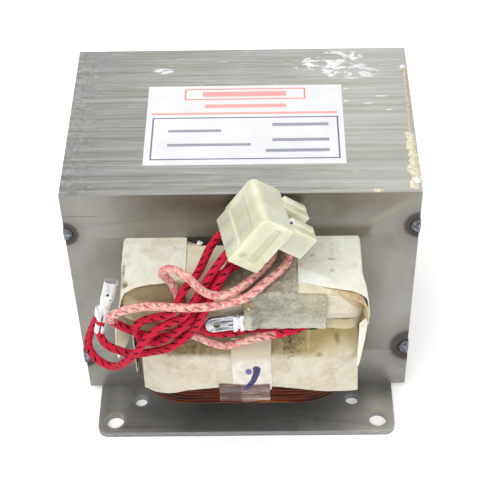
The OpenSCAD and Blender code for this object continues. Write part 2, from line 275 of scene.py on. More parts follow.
class Mat:
    """A procedural material on one Principled shader, with coordinates in millimetres."""

    def __init__(self, name, **sockets):
        self.m = bpy.data.materials.new(name)
        self.m.use_nodes = True
        self.t = self.m.node_tree
        self.t.nodes.clear()
        self.out = self.t.nodes.new("ShaderNodeOutputMaterial")
        self.b = self.t.nodes.new("ShaderNodeBsdfPrincipled")
        self.link(self.b.outputs[0], self.out.inputs[0])
        for k, v in sockets.items():
            self.b.inputs[k.replace("_", " ")].default_value = v
        tc = self.t.nodes.new("ShaderNodeTexCoord")
        mp = self.t.nodes.new("ShaderNodeMapping")
        mp.inputs["Scale"].default_value = (1000, 1000, 1000)
        self.link(tc.outputs["Object"], mp.inputs["Vector"])
        self.co = mp.outputs[0]
        self.uv = tc.outputs["UV"]
        sp = self.t.nodes.new("ShaderNodeSeparateXYZ")
        self.link(self.co, sp.inputs[0])
        self.x, self.y, self.z = sp.outputs

    def link(self, a, b):
        self.t.links.new(a, b)

    def put(self, sock, v):
        if hasattr(v, "is_output"):
            self.link(v, sock)
        else:
            sock.default_value = v

    def set(self, **kw):
        for k, v in kw.items():
            self.put(self.b.inputs[k.replace("_", " ")], v)
        return self

    def math(self, op, a, b=None, c=None, clamp=False):
        n = self.t.nodes.new("ShaderNodeMath")
        n.operation = op
        n.use_clamp = clamp
        for s, v in zip(n.inputs, (a, b, c)):
            if v is not None:
                self.put(s, v)
        return n.outputs[0]

    def add(self, a, b): return self.math("ADD", a, b)
    def sub(self, a, b): return self.math("SUBTRACT", a, b)
    def mul(self, a, b): return self.math("MULTIPLY", a, b)
    def inv(self, a): return self.math("SUBTRACT", 1.0, a)
    def mx(self, a, b): return self.math("MAXIMUM", a, b)
    def mn(self, a, b): return self.math("MINIMUM", a, b)

    def scaled(self, sx, sy, sz, loc=(0, 0, 0), rot=(0, 0, 0), vec=None):
        mp = self.t.nodes.new("ShaderNodeMapping")
        mp.inputs["Scale"].default_value = (sx, sy, sz)
        mp.inputs["Location"].default_value = loc
        mp.inputs["Rotation"].default_value = [math.radians(a) for a in rot]
        self.link(vec or self.co, mp.inputs["Vector"])
        return mp.outputs[0]

    def noise(self, scale, detail=3.0, rough=0.55, vec=None, dist=0.0, out=0):
        n = self.t.nodes.new("ShaderNodeTexNoise")
        n.inputs["Scale"].default_value = scale
        n.inputs["Detail"].default_value = detail
        n.inputs["Roughness"].default_value = rough
        n.inputs["Distortion"].default_value = dist
        self.link(vec or self.co, n.inputs["Vector"])
        return n.outputs[out]

    def voronoi(self, scale, vec=None, feature="F1", rnd=1.0):
        n = self.t.nodes.new("ShaderNodeTexVoronoi")
        n.feature = feature
        n.inputs["Scale"].default_value = scale
        n.inputs["Randomness"].default_value = rnd
        self.link(vec or self.co, n.inputs["Vector"])
        return n.outputs[0]

    def step(self, v, lo, hi, a=0.0, b=1.0, kind="SMOOTHSTEP"):
        """Runs from a to b as v runs from lo to hi."""
        n = self.t.nodes.new("ShaderNodeMapRange")
        n.interpolation_type = kind
        n.clamp = True
        self.put(n.inputs["Value"], v)
        n.inputs["From Min"].default_value = lo
        n.inputs["From Max"].default_value = hi
        n.inputs["To Min"].default_value = a
        n.inputs["To Max"].default_value = b
        return n.outputs[0]

    def ramp(self, fac, *stops, kind="LINEAR"):
        n = self.t.nodes.new("ShaderNodeValToRGB")
        n.color_ramp.interpolation = kind
        e = n.color_ramp.elements
        while len(e) < len(stops):
            e.new(0.5)
        for el, (p, c) in zip(e, stops):
            el.position = p
            el.color = c
        self.link(fac, n.inputs[0])
        return n.outputs[0]

    def mix(self, fac, a, b, kind="MIX"):
        n = self.t.nodes.new("ShaderNodeMix")
        n.data_type = "RGBA"
        n.blend_type = kind
        self.put(n.inputs[0], fac)
        self.put(n.inputs[6], a)
        self.put(n.inputs[7], b)
        return n.outputs[2]

    def window(self, v, lo, hi, soft):
        """1 between lo and hi, fading over soft."""
        return self.mul(self.step(v, lo - soft / 2, lo + soft / 2), self.step(v, hi - soft / 2, hi + soft / 2, 1.0, 0.0))

    def disc(self, u, v, cu, cv, ru, rv, soft=0.25):
        """1 inside an ellipse on two coordinates, fading at its rim."""
        du = self.math("DIVIDE", self.sub(u, cu), ru)
        dv = self.math("DIVIDE", self.sub(v, cv), rv)
        d = self.math("SQRT", self.add(self.mul(du, du), self.mul(dv, dv)))
        return self.step(d, 1 - soft, 1 + soft, 1.0, 0.0)

    def bump(self, height, strength=0.3, dist=0.1, normal=None):
        n = self.t.nodes.new("ShaderNodeBump")
        n.inputs["Strength"].default_value = strength
        n.inputs["Distance"].default_value = dist * MM
        self.link(height, n.inputs["Height"])
        if normal is not None:
            self.link(normal, n.inputs["Normal"])
        return n.outputs[0]


# ------------------------------------------------------------------- leads

# The same route points as in the CAD source, in metres.
ROUTE_A = [(.0145, -.0435, .055), (.0145, -.047, .055), (.0135, -.0515, .055),
    (.0095, -.0545, .055), (.003, -.0555, .0555), (-.004, -.0575, .056), (-.0105, -.058, .0575),
    (-.015, -.058, .063), (-.0175, -.058, .070), (-.020, -.055, .0755), (-.022, -.056, .080),
    (-.0195, -.058, .084), (-.0145, -.060, .0825), (-.011, -.0605, .078), (-.006, -.060, .075),
    (0, -.057, .075), (.0045, -.052, .075), (.0085, -.0465, .075), (.009, -.041, .075),
    (.004, -.0375, .075), (-.001, -.0415, .076), (-.0025, -.048, .0765), (-.006, -.055, .0755),
    (-.0095, -.0604, .0715), (-.012, -.0615, .0655), (-.0155, -.0605, .059),
    (-.021, -.0605, .0535), (-.027, -.0585, .049), (-.033, -.0582, .0478),
    (-.0378, -.0563, .0476), (-.0414, -.0538, .0475), (-.0431, -.0513, .050),
    (-.0425, -.0503, .053), (-.0416, -.0495, .056)]
ROUTE_B = [(.021, -.0435, .0525), (.021, -.047, .0525), (.020, -.051, .0535), (.017, -.055, .055),
    (.011, -.058, .056), (.003, -.0585, .0545), (-.005, -.058, .051), (-.011, -.058, .0535),
    (-.017, -.058, .0565), (-.024, -.058, .055), (-.0305, -.058, .057), (-.036, -.0585, .0615),
    (-.0375, -.061, .0675), (-.033, -.0625, .072), (-.0255, -.0625, .0735),
    (-.018, -.063, .0735), (-.011, -.063, .0735), (-.0045, -.061, .0725), (.002, -.0595, .074),
    (.007, -.055, .075), (.012, -.0495, .075), (.014, -.044, .076), (.0115, -.0395, .0775),
    (.006, -.0405, .0785), (.002, -.0445, .075), (-.0025, -.048, .0738), (-.007, -.052, .0738),
    (-.011, -.0574, .0722), (-.013, -.0592, .0675), (-.0165, -.0613, .0636),
    (-.021, -.0605, .0585), (-.0255, -.0605, .0555), (-.030, -.0605, .058),
    (-.030, -.0605, .0635), (-.025, -.0605, .0665), (-.0195, -.061, .0695),
    (-.0165, -.0585, .0748), (-.013, -.053, .0755), (-.0105, -.046, .0755),
    (-.008, -.043, .079), (-.0048, -.0424, .0832), (-.003, -.0419, .0856)]
ROUTE_J = [(-.0428, -.0471, .0558), (-.0433, -.0476, .0538), (-.045, -.0488, .0501),
    (-.0468, -.0488, .0454), (-.0473, -.050, .0426), (-.0462, -.0518, .0402), (-.0437, -.0536, .0388),
    (-.0406, -.0556, .039), (-.0375, -.058, .042), (-.0347, -.0608, .0474), (-.031, -.063, .054), (-.0275, -.0633, .0605),
    (-.0225, -.062, .0645), (-.017, -.061, .067), (-.013, -.060, .073), (-.0095, -.0553, .0764),
    (-.006, -.0515, .0795), (-.003, -.0509, .0838), (-.0012, -.0504, .0861)]
WIRE = 0.0025


def spline(pts, step=0.0003):
    """Smooth line through the route's points, natural cubic in root-chord time. Gives points and their route index."""
    P = np.array(pts, float)
    t = np.r_[0, np.cumsum(np.sqrt(np.linalg.norm(np.diff(P, axis=0), axis=1)))]
    n, h = len(P), np.diff(t)
    A = np.eye(n)
    R = np.zeros((n, 3))
    for i in range(1, n - 1):
        A[i, i - 1], A[i, i], A[i, i + 1] = h[i - 1], 2 * (h[i - 1] + h[i]), h[i]
        R[i] = 6 * ((P[i + 1] - P[i]) / h[i] - (P[i] - P[i - 1]) / h[i - 1])
    M = np.linalg.solve(A, R)
    out, idx = [], []
    for i in range(n - 1):
        for s in np.linspace(0, 1, 60, endpoint=False):
            a, b = (1 - s) * h[i], s * h[i]
            out.append(M[i] * a ** 3 / (6 * h[i]) + M[i + 1] * b ** 3 / (6 * h[i])
                       + (P[i] / h[i] - M[i] * h[i] / 6) * a + (P[i + 1] / h[i] - M[i + 1] * h[i] / 6) * b)
            idx.append(i + s)
    out.append(P[-1])
    idx.append(n - 1)
    out, idx = np.array(out), np.array(idx)
    L = np.r_[0, np.cumsum(np.linalg.norm(np.diff(out, axis=0), axis=1))]
    k = int(round(L[-1] / step))
    q = np.linspace(0, L[-1], k + 1)
    return np.stack([np.interp(q, L, out[:, c]) for c in range(3)], 1), np.interp(q, L, idx), q


def tube(name, pts, mat, soak, sides=24):
    """Braided lead: a tube with the sleeve's diamond weave, UV = (turn, mm along), and how much varnish it has drunk."""
    P, idx, q = spline(pts)
    T = np.gradient(P, axis=0)
    T /= np.linalg.norm(T, axis=1, keepdims=True)
    N = np.zeros_like(P)
    n = np.cross(T[0], (0.3, 0.2, 1.0))
    for i in range(len(P)):
        n = n - T[i] * np.dot(n, T[i])
        n /= np.linalg.norm(n)
        N[i] = n
    B = np.cross(T, N)
    s_mm = q / MM
    k = len(P)
    r0 = WIRE / 2
    verts = np.zeros((k, sides, 3))
    amount = np.interp(idx, [a for a, _ in soak], [b for _, b in soak])
    for j in range(sides):
        u = j / sides
        a = 2 * math.pi * u
        weave = np.sin(2 * np.pi * (6 * u + 0.62 * s_mm)) * np.sin(2 * np.pi * (6 * u - 0.62 * s_mm))
        slow = np.array([mnoise.noise(Vector((s * 0.45, math.cos(a) * 0.8, math.sin(a) * 0.8 + len(pts)))) for s in s_mm])
        r = r0 * (1.0 - 0.030 + 0.022 * weave * (1 - 0.55 * amount) + 0.022 * slow)
        verts[:, j] = P + r[:, None] * (math.cos(a) * N + math.sin(a) * B)
    flat = verts.reshape(-1, 3)
    faces = []
    for i in range(k - 1):
        for j in range(sides):
            jn = (j + 1) % sides
            faces.append((i * sides + j, i * sides + jn, (i + 1) * sides + jn, (i + 1) * sides + j))
    c0, c1 = len(flat), len(flat) + 1
    flat = np.concatenate([flat, P[:1] - T[:1] * 0.0001, P[-1:] + T[-1:] * 0.0001])
    for j in range(sides):
        jn = (j + 1) % sides
        faces.append((c0, jn, j))
        faces.append((c1, (k - 1) * sides + j, (k - 1) * sides + jn))
    ob = add(name, flat, faces, mat, scale=1.0)
    me = ob.data
    uv = me.uv_layers.new(name="UVMap")
    data = np.zeros((len(me.loops), 2))
    li = 0
    for i in range(k - 1):
        for j in range(sides):
            for du, di in ((0, 0), (1, 0), (1, 1), (0, 1)):
                data[li] = ((j + du) / sides, s_mm[i + di])
                li += 1
    while li < len(data):
        data[li] = (0.5, 0.0)
        li += 1
    uv.data.foreach_set("uv", data.astype(np.float32).ravel())
    at = me.attributes.new("soak", "FLOAT", "POINT")
    at.data.foreach_set("value", np.r_[np.repeat(amount, sides), amount[0], amount[-1]].astype(np.float32))
    return ob, P


def lead_material():
    m = Mat("braid", Roughness=0.72, Specular_IOR_Level=0.22)
    sp = m.t.nodes.new("ShaderNodeSeparateXYZ")
    m.link(m.uv, sp.inputs[0])
    u, v = sp.outputs[0], sp.outputs[1]
    at = m.t.nodes.new("ShaderNodeAttribute")
    at.attribute_name = "soak"
    soak = at.outputs["Fac"]
    two_pi = 2 * math.pi
    p1 = m.math("SINE", m.mul(m.add(m.mul(u, 6.0), m.mul(v, 0.62)), two_pi))
    p2 = m.math("SINE", m.mul(m.sub(m.mul(u, 6.0), m.mul(v, 0.62)), two_pi))
    weave = m.mul(p1, p2)
    # fine yarn lines that change direction from one diamond to the next
    y1 = m.math("SINE", m.mul(m.add(m.mul(u, 36.0), m.mul(v, 3.7)), two_pi))
    y2 = m.math("SINE", m.mul(m.sub(m.mul(u, 36.0), m.mul(v, 3.7)), two_pi))
    side = m.step(weave, -0.08, 0.08)
    yarn = m.add(m.mul(y1, side), m.mul(y2, m.inv(side)))
    fuzz = m.noise(6.0, 3.0, 0.65)
    blotch = m.noise(0.55, 3.0, 0.6)
    # red yarn, darker between the diamonds
    red = m.ramp(m.add(m.add(m.mul(weave, 0.13), m.mul(yarn, 0.04)), m.mul(fuzz, 0.95)),
                 (0.14, col(104, 4, 22)), (0.36, col(180, 12, 42)), (0.60, col(212, 30, 62)), (0.92, col(236, 104, 124)))
    # two dark tracer yarns, seen as slanting dashes
    ph = m.math("FRACT", m.sub(m.mul(u, 3.0), m.mul(v, 1 / 3.5)))
    jog = m.mul(m.step(m.math("SINE", m.mul(m.add(m.mul(u, 6.0), 0.2), two_pi)), -0.1, 0.1), 0.07)
    line = m.window(m.add(ph, jog), 0.415, 0.665, 0.07)
    gate = m.step(m.math("SINE", m.mul(m.add(m.mul(u, 3.0), m.mul(v, 1 / 17.0)), two_pi)), -0.45, -0.15)
    tracer = m.mul(line, gate)
    tracer = m.mul(tracer, m.step(fuzz, 0.22, 0.36))
    # where varnish has been drunk the yarn is pale, pinkish and stiff
    crust = m.noise(2.4, 4.0, 0.72)
    pale = m.ramp(m.add(m.mul(crust, 0.45), m.mul(m.noise(0.8, 3.0, 0.6, vec=m.scaled(1, 1, 1, loc=(7, 1, 3))), 0.55)),
                  (0.34, col(202, 76, 90)), (0.42, col(216, 122, 124)), (0.49, col(226, 164, 154)), (0.56, col(232, 194, 178)), (0.68, col(238, 220, 202)))
    wet = m.mul(m.step(soak, 0.04, 0.14), m.step(m.add(soak, m.mul(m.sub(blotch, 0.5), 1.0)), 0.22, 0.62))
    base = m.mix(m.mul(wet, 0.94), red, pale)
    dark = m.mix(wet, col(12, 6, 28), col(96, 74, 88))
    m.set(Base_Color=m.mix(m.mul(tracer, m.step(soak, 0.2, 1.0, 1.0, 0.55)), base, dark))
    m.set(Roughness=m.step(wet, 0.0, 1.0, 0.76, 0.55))
    h = m.add(m.add(m.mul(weave, 0.28), m.mul(yarn, 0.14)), m.add(m.mul(fuzz, 0.4), m.mul(m.mul(crust, wet), 1.3)))
    m.set(Normal=m.bump(h, 0.5, 0.14))
    return m.m


M_BRAID = lead_material()
lead_a, path_a = tube("lead_a_sleeve", ROUTE_A, M_BRAID,
                      [(0, 0), (7, .02), (8, .35), (9, .8), (10, 1), (13, .95), (16, .75), (18, .6), (20, .15), (23, 0), (33, 0)])
lead_b, path_b = tube("lead_b_sleeve", ROUTE_B, M_BRAID,
                      [(0, 0), (3.6, .05), (4.6, .55), (5.4, .95), (7, .9), (8, .3), (9, .05), (11, .1), (11.8, .6), (13, .8), (16, .7), (19, .75), (21, .85), (22, .5), (23.5, .05), (42, 0)])
lead_j, path_j = tube("jumper_sleeve", ROUTE_J, M_BRAID, [(0, 0), (18, 0)])
piece(lead_a, ("lead_a",))
piece(lead_b, ("lead_b",))
piece(lead_j, ("jumper",))


# ------------------------------------------------------------------- stage

def stage():
    v = [(-1500, -1500, 0), (1500, -1500, 0), (1500, 1500, 0), (-1500, 1500, 0)]
    floor = add("floor", v, [(0, 1, 2, 3)], smooth=False)
    m = Mat("floor_white", Roughness=0.75, Specular_IOR_Level=0.2, Emission_Strength=0.22)
    m.b.inputs["Emission Color"].default_value = (1, 1, 1, 1)
    m.set(Base_Color=m.mix(m.noise(0.01, 2.0), (0.93, 0.93, 0.93, 1), (0.96, 0.96, 0.96, 1)))
    floor.data.materials.append(m.m)
    w = bpy.data.worlds.new("world")
    scene.world = w
    w.use_nodes = True
    bg = w.node_tree.nodes["Background"]
    bg.inputs[0].default_value = (0.97, 0.985, 1.0, 1)
    bg.inputs[1].default_value = 0.62
    for name, loc, size, power in (("key", (-0.25, -0.35, 0.95), 0.9, 7.0),
                                   ("fill", (0.75, -0.65, 0.45), 0.7, 2.4),
                                   ("back", (-0.2, 0.9, 0.55), 0.8, 2.6)):
        ld = bpy.data.lights.new(name, "AREA")
        ld.energy = power
        ld.size = size
        ld.color = (1.0, 0.985, 0.96)
        lo = bpy.data.objects.new(name, ld)
        scene.collection.objects.link(lo)
        lo.location = loc
        lo.rotation_mode = "QUATERNION"
        lo.rotation_quaternion = (Vector(loc) - Vector((0, 0, 0.05))).to_track_quat("Z", "Y")


stage()

# -------------------------------------------------------------------- core

ZI, ZJ, ZT, ZW = 2.3, 19.8, 89.8, 72.3
WELDS = [(-52.4, 18.0, 3.4), (52.6, 21.0, 3.4), (-52.4, 74.2, 2.6), (52.4, 76.0, 2.8)]
RINGS = [(-52.6, 17.6, 4.3, 5.0), (52.6, 21.8, 5.9, 7.3), (-52.5, 74.3, 4.2, 4.7), (52.5, 76.5, 4.6, 5.2)]


def weld_masks(m, grow=1.0, soft=0.16):
    total = None
    for x, z, rx, rz in RINGS:
        k = m.disc(m.add(m.x, m.mul(m.sub(m.noise(0.9, 2), 0.5), 0.9)), m.z, x, z, rx * grow, rz * grow, soft)
        total = k if total is None else m.mx(total, k)
    return total


def core_face_material():
    m = Mat("core_face", Metallic=0.62)
    big = m.noise(0.035, 3.0, 0.5)
    mid = m.noise(0.16, 4.0, 0.6, vec=m.scaled(1, 1, 0.6))
    grain = m.noise(3.5, 3.0, 0.7)
    base = m.ramp(m.add(m.mul(big, 0.6), m.mul(mid, 0.4)),
                  (0.34, col(140, 137, 131)), (0.52, col(155, 152, 147)), (0.68, col(164, 162, 158)))
    # brown varnish that ran from the top edge
    brown = m.mul(m.step(m.add(m.z, m.mul(m.sub(mid, 0.5), 16)), 76.0, 89.0), m.window(m.x, -34, 44, 26))
    base = m.mix(m.mul(brown, 0.80), base, col(92, 84, 68))
    # a pool of varnish where the front meets the papers
    pool = m.mul(m.window(m.z, 71.5, 76.5, 3.5), m.window(m.add(m.x, m.mul(m.sub(mid, 0.5), 10)), -2, 37, 5))
    base = m.mix(m.mul(pool, 0.75), base, col(92, 84, 58))
    # yellowish run near the right corner, slanting down to the left
    t = m.add(m.mul(m.sub(m.x, 47.0), 0.72), m.mul(m.sub(m.z, 84.5), -0.9))
    run = m.mul(m.window(t, -1.6, 1.0, 1.2), m.mul(m.window(m.x, 37.5, 50, 3), m.step(m.z, 74, 80)))
    base = m.mix(m.mul(run, 0.20), base, col(186, 180, 146))
    base = m.mix(m.mul(m.mul(m.window(m.x, 31, 52.5, 7), m.step(m.z, 80, 90)), 0.45), base, col(132, 126, 96))
    # fine scratches and specks
    scr = m.step(m.noise(1.0, 2.0, 0.6, vec=m.scaled(0.05, 1, 1.6, rot=(0, 7, 0))), 0.66, 0.74)
    base = m.mix(m.mul(scr, 0.12), base, col(196, 194, 190))
    speck = m.step(m.voronoi(0.55), 0.05, 0.02)
    base = m.mix(m.mul(speck, 0.5), base, col(212, 210, 204))
    line = m.mul(m.window(m.z, 81.35, 81.65, 0.2), m.window(m.x, -52.3, -42, 2))
    base = m.mix(m.mul(line, 0.5), base, col(80, 72, 60))
    # a dark ring round each weld, with a fainter darker halo
    halo = weld_masks(m, 1.45, 0.35)
    base = m.mix(m.mul(halo, 0.30), base, col(98, 88, 78))
    ring = weld_masks(m)
    base = m.mix(m.mul(ring, 0.88), base, col(58, 47, 45))
    m.set(Base_Color=m.mix(0.13, base, col(0, 0, 0)))
    m.set(Roughness=m.step(m.add(m.mul(mid, 0.5), m.mul(brown, 0.25)), 0.1, 0.7, 0.46, 0.36))
    h = m.add(m.mul(grain, 0.35), m.mul(mid, 1.2))
    m.set(Normal=m.bump(h, 0.14, 0.12))
    return m.m


def core_edge_material():
    m = Mat("core_edges", Metallic=0.5)
    lam = m.noise(1.0, 2.0, 0.5, vec=m.scaled(0.012, 2.1, 0.012))
    lam2 = m.noise(1.0, 3.0, 0.6, vec=m.scaled(0.03, 0.62, 0.03))
    lam3 = m.noise(1.0, 3.0, 0.6, vec=m.scaled(0.10, 4.5, 0.10))
    big = m.noise(0.05, 3.0, 0.55)
    s = m.add(m.add(m.mul(lam, 0.42), m.mul(lam2, 0.38)), m.mul(lam3, 0.20))
    base = m.ramp(s, (0.30, col(112, 110, 98)), (0.42, col(146, 144, 132)), (0.52, col(168, 169, 165)), (0.62, col(188, 189, 188)), (0.76, col(222, 220, 206)))
    base = m.mix(m.step(big, 0.45, 0.70, 0.0, 0.35), base, col(142, 146, 146))
    top = m.step(m.z, 89.2, 89.7)
    # short cream dashes left by the varnish
    dash = m.mul(m.step(m.noise(1.0, 2.0, 0.5, vec=m.scaled(0.16, 2.4, 0.16)), 0.685, 0.74), top)
    base = m.mix(m.mul(dash, 0.75), base, col(232, 228, 212))
    # pale scuffs along the left of the top
    edge = m.mul(m.step(m.add(m.x, m.mul(m.sub(m.noise(0.12, 4.0, 0.7), 0.5), 26)), -39, -52), top)
    base = m.mix(m.mul(edge, m.mul(m.step(m.noise(0.5, 5.0, 0.75), 0.46, 0.60), 0.45)), base, col(112, 116, 122))
    base = m.mix(m.mul(edge, m.mul(m.step(m.noise(0.8, 5.0, 0.8, vec=m.scaled(1, 1, 1, loc=(9, 4, 2))), 0.54, 0.66), 0.70)), base, col(206, 209, 210))
    # wiped white residue right of the label, in smears, and a small one at the left
    w = m.noise(0.105, 2.0, 0.45, dist=1.8, vec=m.scaled(0.8, 1.7, 1, rot=(0, 0, 26)))
    w2 = m.noise(0.30, 4.0, 0.62, dist=0.8, vec=m.scaled(0.8, 1.4, 1, rot=(0, 0, -20), loc=(3, 7, 0)))
    grain = m.noise(1.1, 4.0, 0.7)
    ridge = m.math("ABSOLUTE", m.sub(w, 0.5))
    smear = m.mx(m.mul(m.step(ridge, 0.072, 0.048), m.step(w2, 0.39, 0.44)), m.step(w2, 0.57, 0.60))
    smear = m.mul(smear, m.step(grain, 0.30, 0.42))
    for cx, cy, rx, ry, k in ((24.5, 25.5, 8.5, 3.4, 1.0), (34.5, 22.0, 8.5, 4.2, 1.0), (32.0, 30.0, 6.5, 3.0, 1.0), (-24.4, 23.4, 2.8, 1.5, 1.0)):
        d = m.mul(m.disc(m.add(m.x, m.mul(m.sub(w2, 0.5), 6)), m.add(m.y, m.mul(m.sub(w, 0.5), 6)), cx, cy, rx, ry, 0.12), top)
        base = m.mix(m.mul(m.mul(d, smear), 0.93 * k), base, col(240, 242, 245))
    for cx, cy, rx in ((32.6, 13.4, 0.8), (43.4, 9.6, 1.9), (32.4, 7.4, 0.9), (39.2, 6.2, 1.6), (45.5, 3.0, 1.1)):
        base = m.mix(m.mul(m.mul(m.disc(m.x, m.y, cx, cy, rx, 0.30, 0.4), top), 0.85), base, col(240, 240, 232))
    # the top darker towards the left and paler towards the right
    base = m.mix(m.mul(top, m.step(m.x, 14, -44, 0.0, 0.25)), base, col(0, 0, 0))
    base = m.mix(m.mul(top, m.step(m.x, 6, 44, 0.0, 0.30)), base, col(236, 236, 228))
    # side faces: heat tint along the weld seams
    halo = m.mul(weld_masks(m, 1.35, 0.3), m.step(m.z, 88, 86))
    base = m.mix(m.mul(halo, 0.7), base, col(70, 60, 56))
    side = m.inv(top)
    base = m.mix(m.mul(side, m.step(m.noise(0.09, 3.0), 0.42, 0.66, 0.0, 0.4)), base, col(120, 112, 96))
    m.set(Base_Color=base)
    m.set(Roughness=m.step(lam, 0.3, 0.7, 0.40, 0.56))
    h = m.add(m.mul(lam, 0.8), m.mul(lam3, 0.5))
    m.set(Normal=m.bump(h, 0.45, 0.10))
    return m.m


M_FACE = core_face_material()
M_EDGE = core_edge_material()


def prism(name, loop, axis, a0, a1, mat):
    n = len(loop)
    put = {"Z": lambda x, y, a: (x, y, a), "Y": lambda x, y, a: (x, a, y), "X": lambda x, y, a: (a, x, y)}[axis]
    v = [put(x, y, a0) for x, y in loop] + [put(x, y, a1) for x, y in loop]
    f = [tuple(range(n - 1, -1, -1)), tuple(range(n, 2 * n))] + [(i, (i + 1) % n, n + (i + 1) % n, n + i) for i in range(n)]
    ob = add(name, v, f, mat, smooth=False)
    import bmesh
    bm = bmesh.new()
    bm.from_mesh(ob.data)
    bmesh.ops.recalc_face_normals(bm, faces=bm.faces)
    bm.to_mesh(ob.data)
    bm.free()
    return ob


def bevel(ob, width, segments=2, angle=30):
    m = ob.modifiers.new("bevel", "BEVEL")
    m.width = width * MM
    m.segments = segments
    m.limit_method = "ANGLE"
    m.angle_limit = math.radians(angle)
    m.use_clamp_overlap = True
    bake(ob)
    smooth_by_angle(ob, 40)
    return ob


def by_normal(ob, face_mat, edge_mat):
    ob.data.materials.clear()
    ob.data.materials.append(edge_mat)
    ob.data.materials.append(face_mat)
    for p in ob.data.polygons:
        p.material_index = 1 if abs(p.normal.y) > 0.7 else 0


def core():
    e = prism("e_stack", [(-52.5, ZJ), (-35, ZJ), (-35, ZW), (-17.5, ZW), (-17.5, ZJ), (17.5, ZJ), (17.5, ZW),
                          (35, ZW), (35, ZJ), (52.5, ZJ), (52.5, ZT), (-52.5, ZT)], "Y", -34, 34, M_EDGE)
    i = prism("i_stack", [(-52.2, ZI), (52.8, ZI), (52.8, ZJ - 0.04), (-52.2, ZJ - 0.04)], "Y", -34, 34, M_EDGE)
    for ob in (e, i):
        cut(ob, *[cylinder((x, -36, z), (x, 36, z), r, 48) for x, z, r in WELDS[:2]])
    cut(e, *[cylinder((x, -36, z), (x, 36, z), r, 48) for x, z, r in WELDS[2:]])
    for ob, node in ((e, "e_laminations"), (i, "i_laminations")):
        bevel(ob, 0.12, 2)
        by_normal(ob, M_FACE, M_EDGE)
        piece(ob, (node,))


core()


def weld_material():
    m = Mat("weld_bead", Metallic=0.75)
    n1 = m.noise(0.9, 4.0, 0.6)
    base = m.ramp(n1, (0.30, col(52, 52, 58)), (0.48, col(104, 108, 118)), (0.62, col(140, 146, 156)), (0.80, col(172, 178, 186)))
    rim = None
    for (x, z, r) in WELDS:
        k = m.disc(m.x, m.z, x, z, r * 0.84, r * 0.84, 0.16)
        rim = k if rim is None else m.mx(rim, k)
    base = m.mix(m.inv(rim), base, col(54, 44, 44))
    rust = m.step(m.noise(0.6, 4.0, 0.7, vec=m.scaled(1, 1, 1, loc=(3, 8, 1))), 0.60, 0.72)
    base = m.mix(m.mul(rust, 0.5), base, col(108, 72, 48))
    # crescents frozen one after the other along the stack
    dz = m.sub(m.z, m.step(m.z, 45.0, 55.0, WELDS[0][1], WELDS[2][1]))
    rip = m.math("SINE", m.mul(m.add(m.add(m.y, m.mul(m.mul(dz, dz), 0.22)), m.mul(m.noise(0.3, 2.0), 1.2)), 2 * math.pi / 1.7))
    along = m.step(m.math("ABSOLUTE", m.y), 33.95, 33.7)
    seam = m.ramp(m.add(m.mul(rip, 0.16), m.mul(m.noise(0.5, 4.0, 0.6), 1.0)), (0.30, col(74, 74, 80)), (0.50, col(112, 114, 120)), (0.72, col(152, 155, 160)))
    edge = m.step(m.math("ABSOLUTE", dz), WELDS[0][2] * 0.62, WELDS[0][2] * 0.98)
    seam = m.mix(m.mul(edge, 0.6), seam, col(84, 72, 62))
    base = m.mix(along, base, seam)
    m.set(Base_Color=base, Roughness=m.step(n1, 0.3, 0.7, 0.5, 0.3))
    m.set(Normal=m.bump(m.add(m.mul(rip, 0.9), m.mul(m.noise(2.2, 3.0), 0.6)), 0.6, 0.2))
    return m.m


M_WELD = weld_material()


def weld(name, x, z, r, side, node, seed):
    """Bead that fills its half-round groove; rippled crescents along the stack and a domed end on both faces."""
    ny, na = 150, 36
    v, f = [], []
    lim = 52.9 if side > 0 else -52.9
    for i in range(ny + 1):
        y = -34 + 68 * i / ny
        s = 1.0 + 0.03 * math.sin(2 * math.pi * (y + seed) / 1.7) + 0.05 * wob(x, y, z, 0.35, seed)
        for a in range(na):
            t = 2 * math.pi * a / na
            px = x + r * 0.985 * math.cos(t) * (1 if s < 1 else 1)
            pz = z + r * 0.985 * math.sin(t)
            if (px - x) * side > 0:
                crown = 0.42 * max(0.0, math.cos(t) * side) ** 0.5
                px = (52.5 + crown * s * 0.9 - 0.04) * side if abs(px) > 52.5 else px
            v.append((px, y, pz))
    for i in range(ny):
        for a in range(na):
            b = (a + 1) % na
            f.append((i * na + a, i * na + b, (i + 1) * na + b, (i + 1) * na + a))
    # domed ends
    for i, sgn in ((0, -1), (ny, 1)):
        ring = list(range(i * na, (i + 1) * na))
        prev = ring
        cen = np.mean([v[j] for j in ring], 0)
        for q, (sc, up) in enumerate(((0.82, 0.10), (0.60, 0.30), (0.34, 0.44), (0.12, 0.50))):
            new = []
            for j in ring:
                p = cen + (np.array(v[j]) - cen) * sc
                w = wob(p[0], p[1] + q, p[2], 0.5, seed) * 0.10
                new.append(len(v))
                v.append((p[0], -34 * (1 if sgn < 0 else -1) + sgn * (up + w), p[2]))
            for a in range(na):
                b = (a + 1) % na
                quad = (prev[a], prev[b], new[b], new[a])
                f.append(quad if sgn > 0 else quad[::-1])
            prev = new
        c = len(v)
        v.append((cen[0], 34 * sgn + sgn * 0.5, cen[2]))
        for a in range(na):
            b = (a + 1) % na
            f.append((prev[a], prev[b], c) if sgn > 0 else (prev[b], prev[a], c))
    ob = add(name, v, f, M_WELD)
    piece(ob, (node,))


weld("bead_joint_left", *WELDS[0], -1, "joint_weld_left", 1.3)
weld("bead_joint_right", *WELDS[1], 1, "joint_weld_right", 4.1)
weld("bead_upper_left", *WELDS[2], -1, "upper_weld_left", 7.7)
weld("bead_upper_right", *WELDS[3], 1, "upper_weld_right", 9.2)
from_cad("plate_fillets", "plate_welds", M_WELD, voxel=0.16, smooth=4, lump=0.22, seed=3.3)


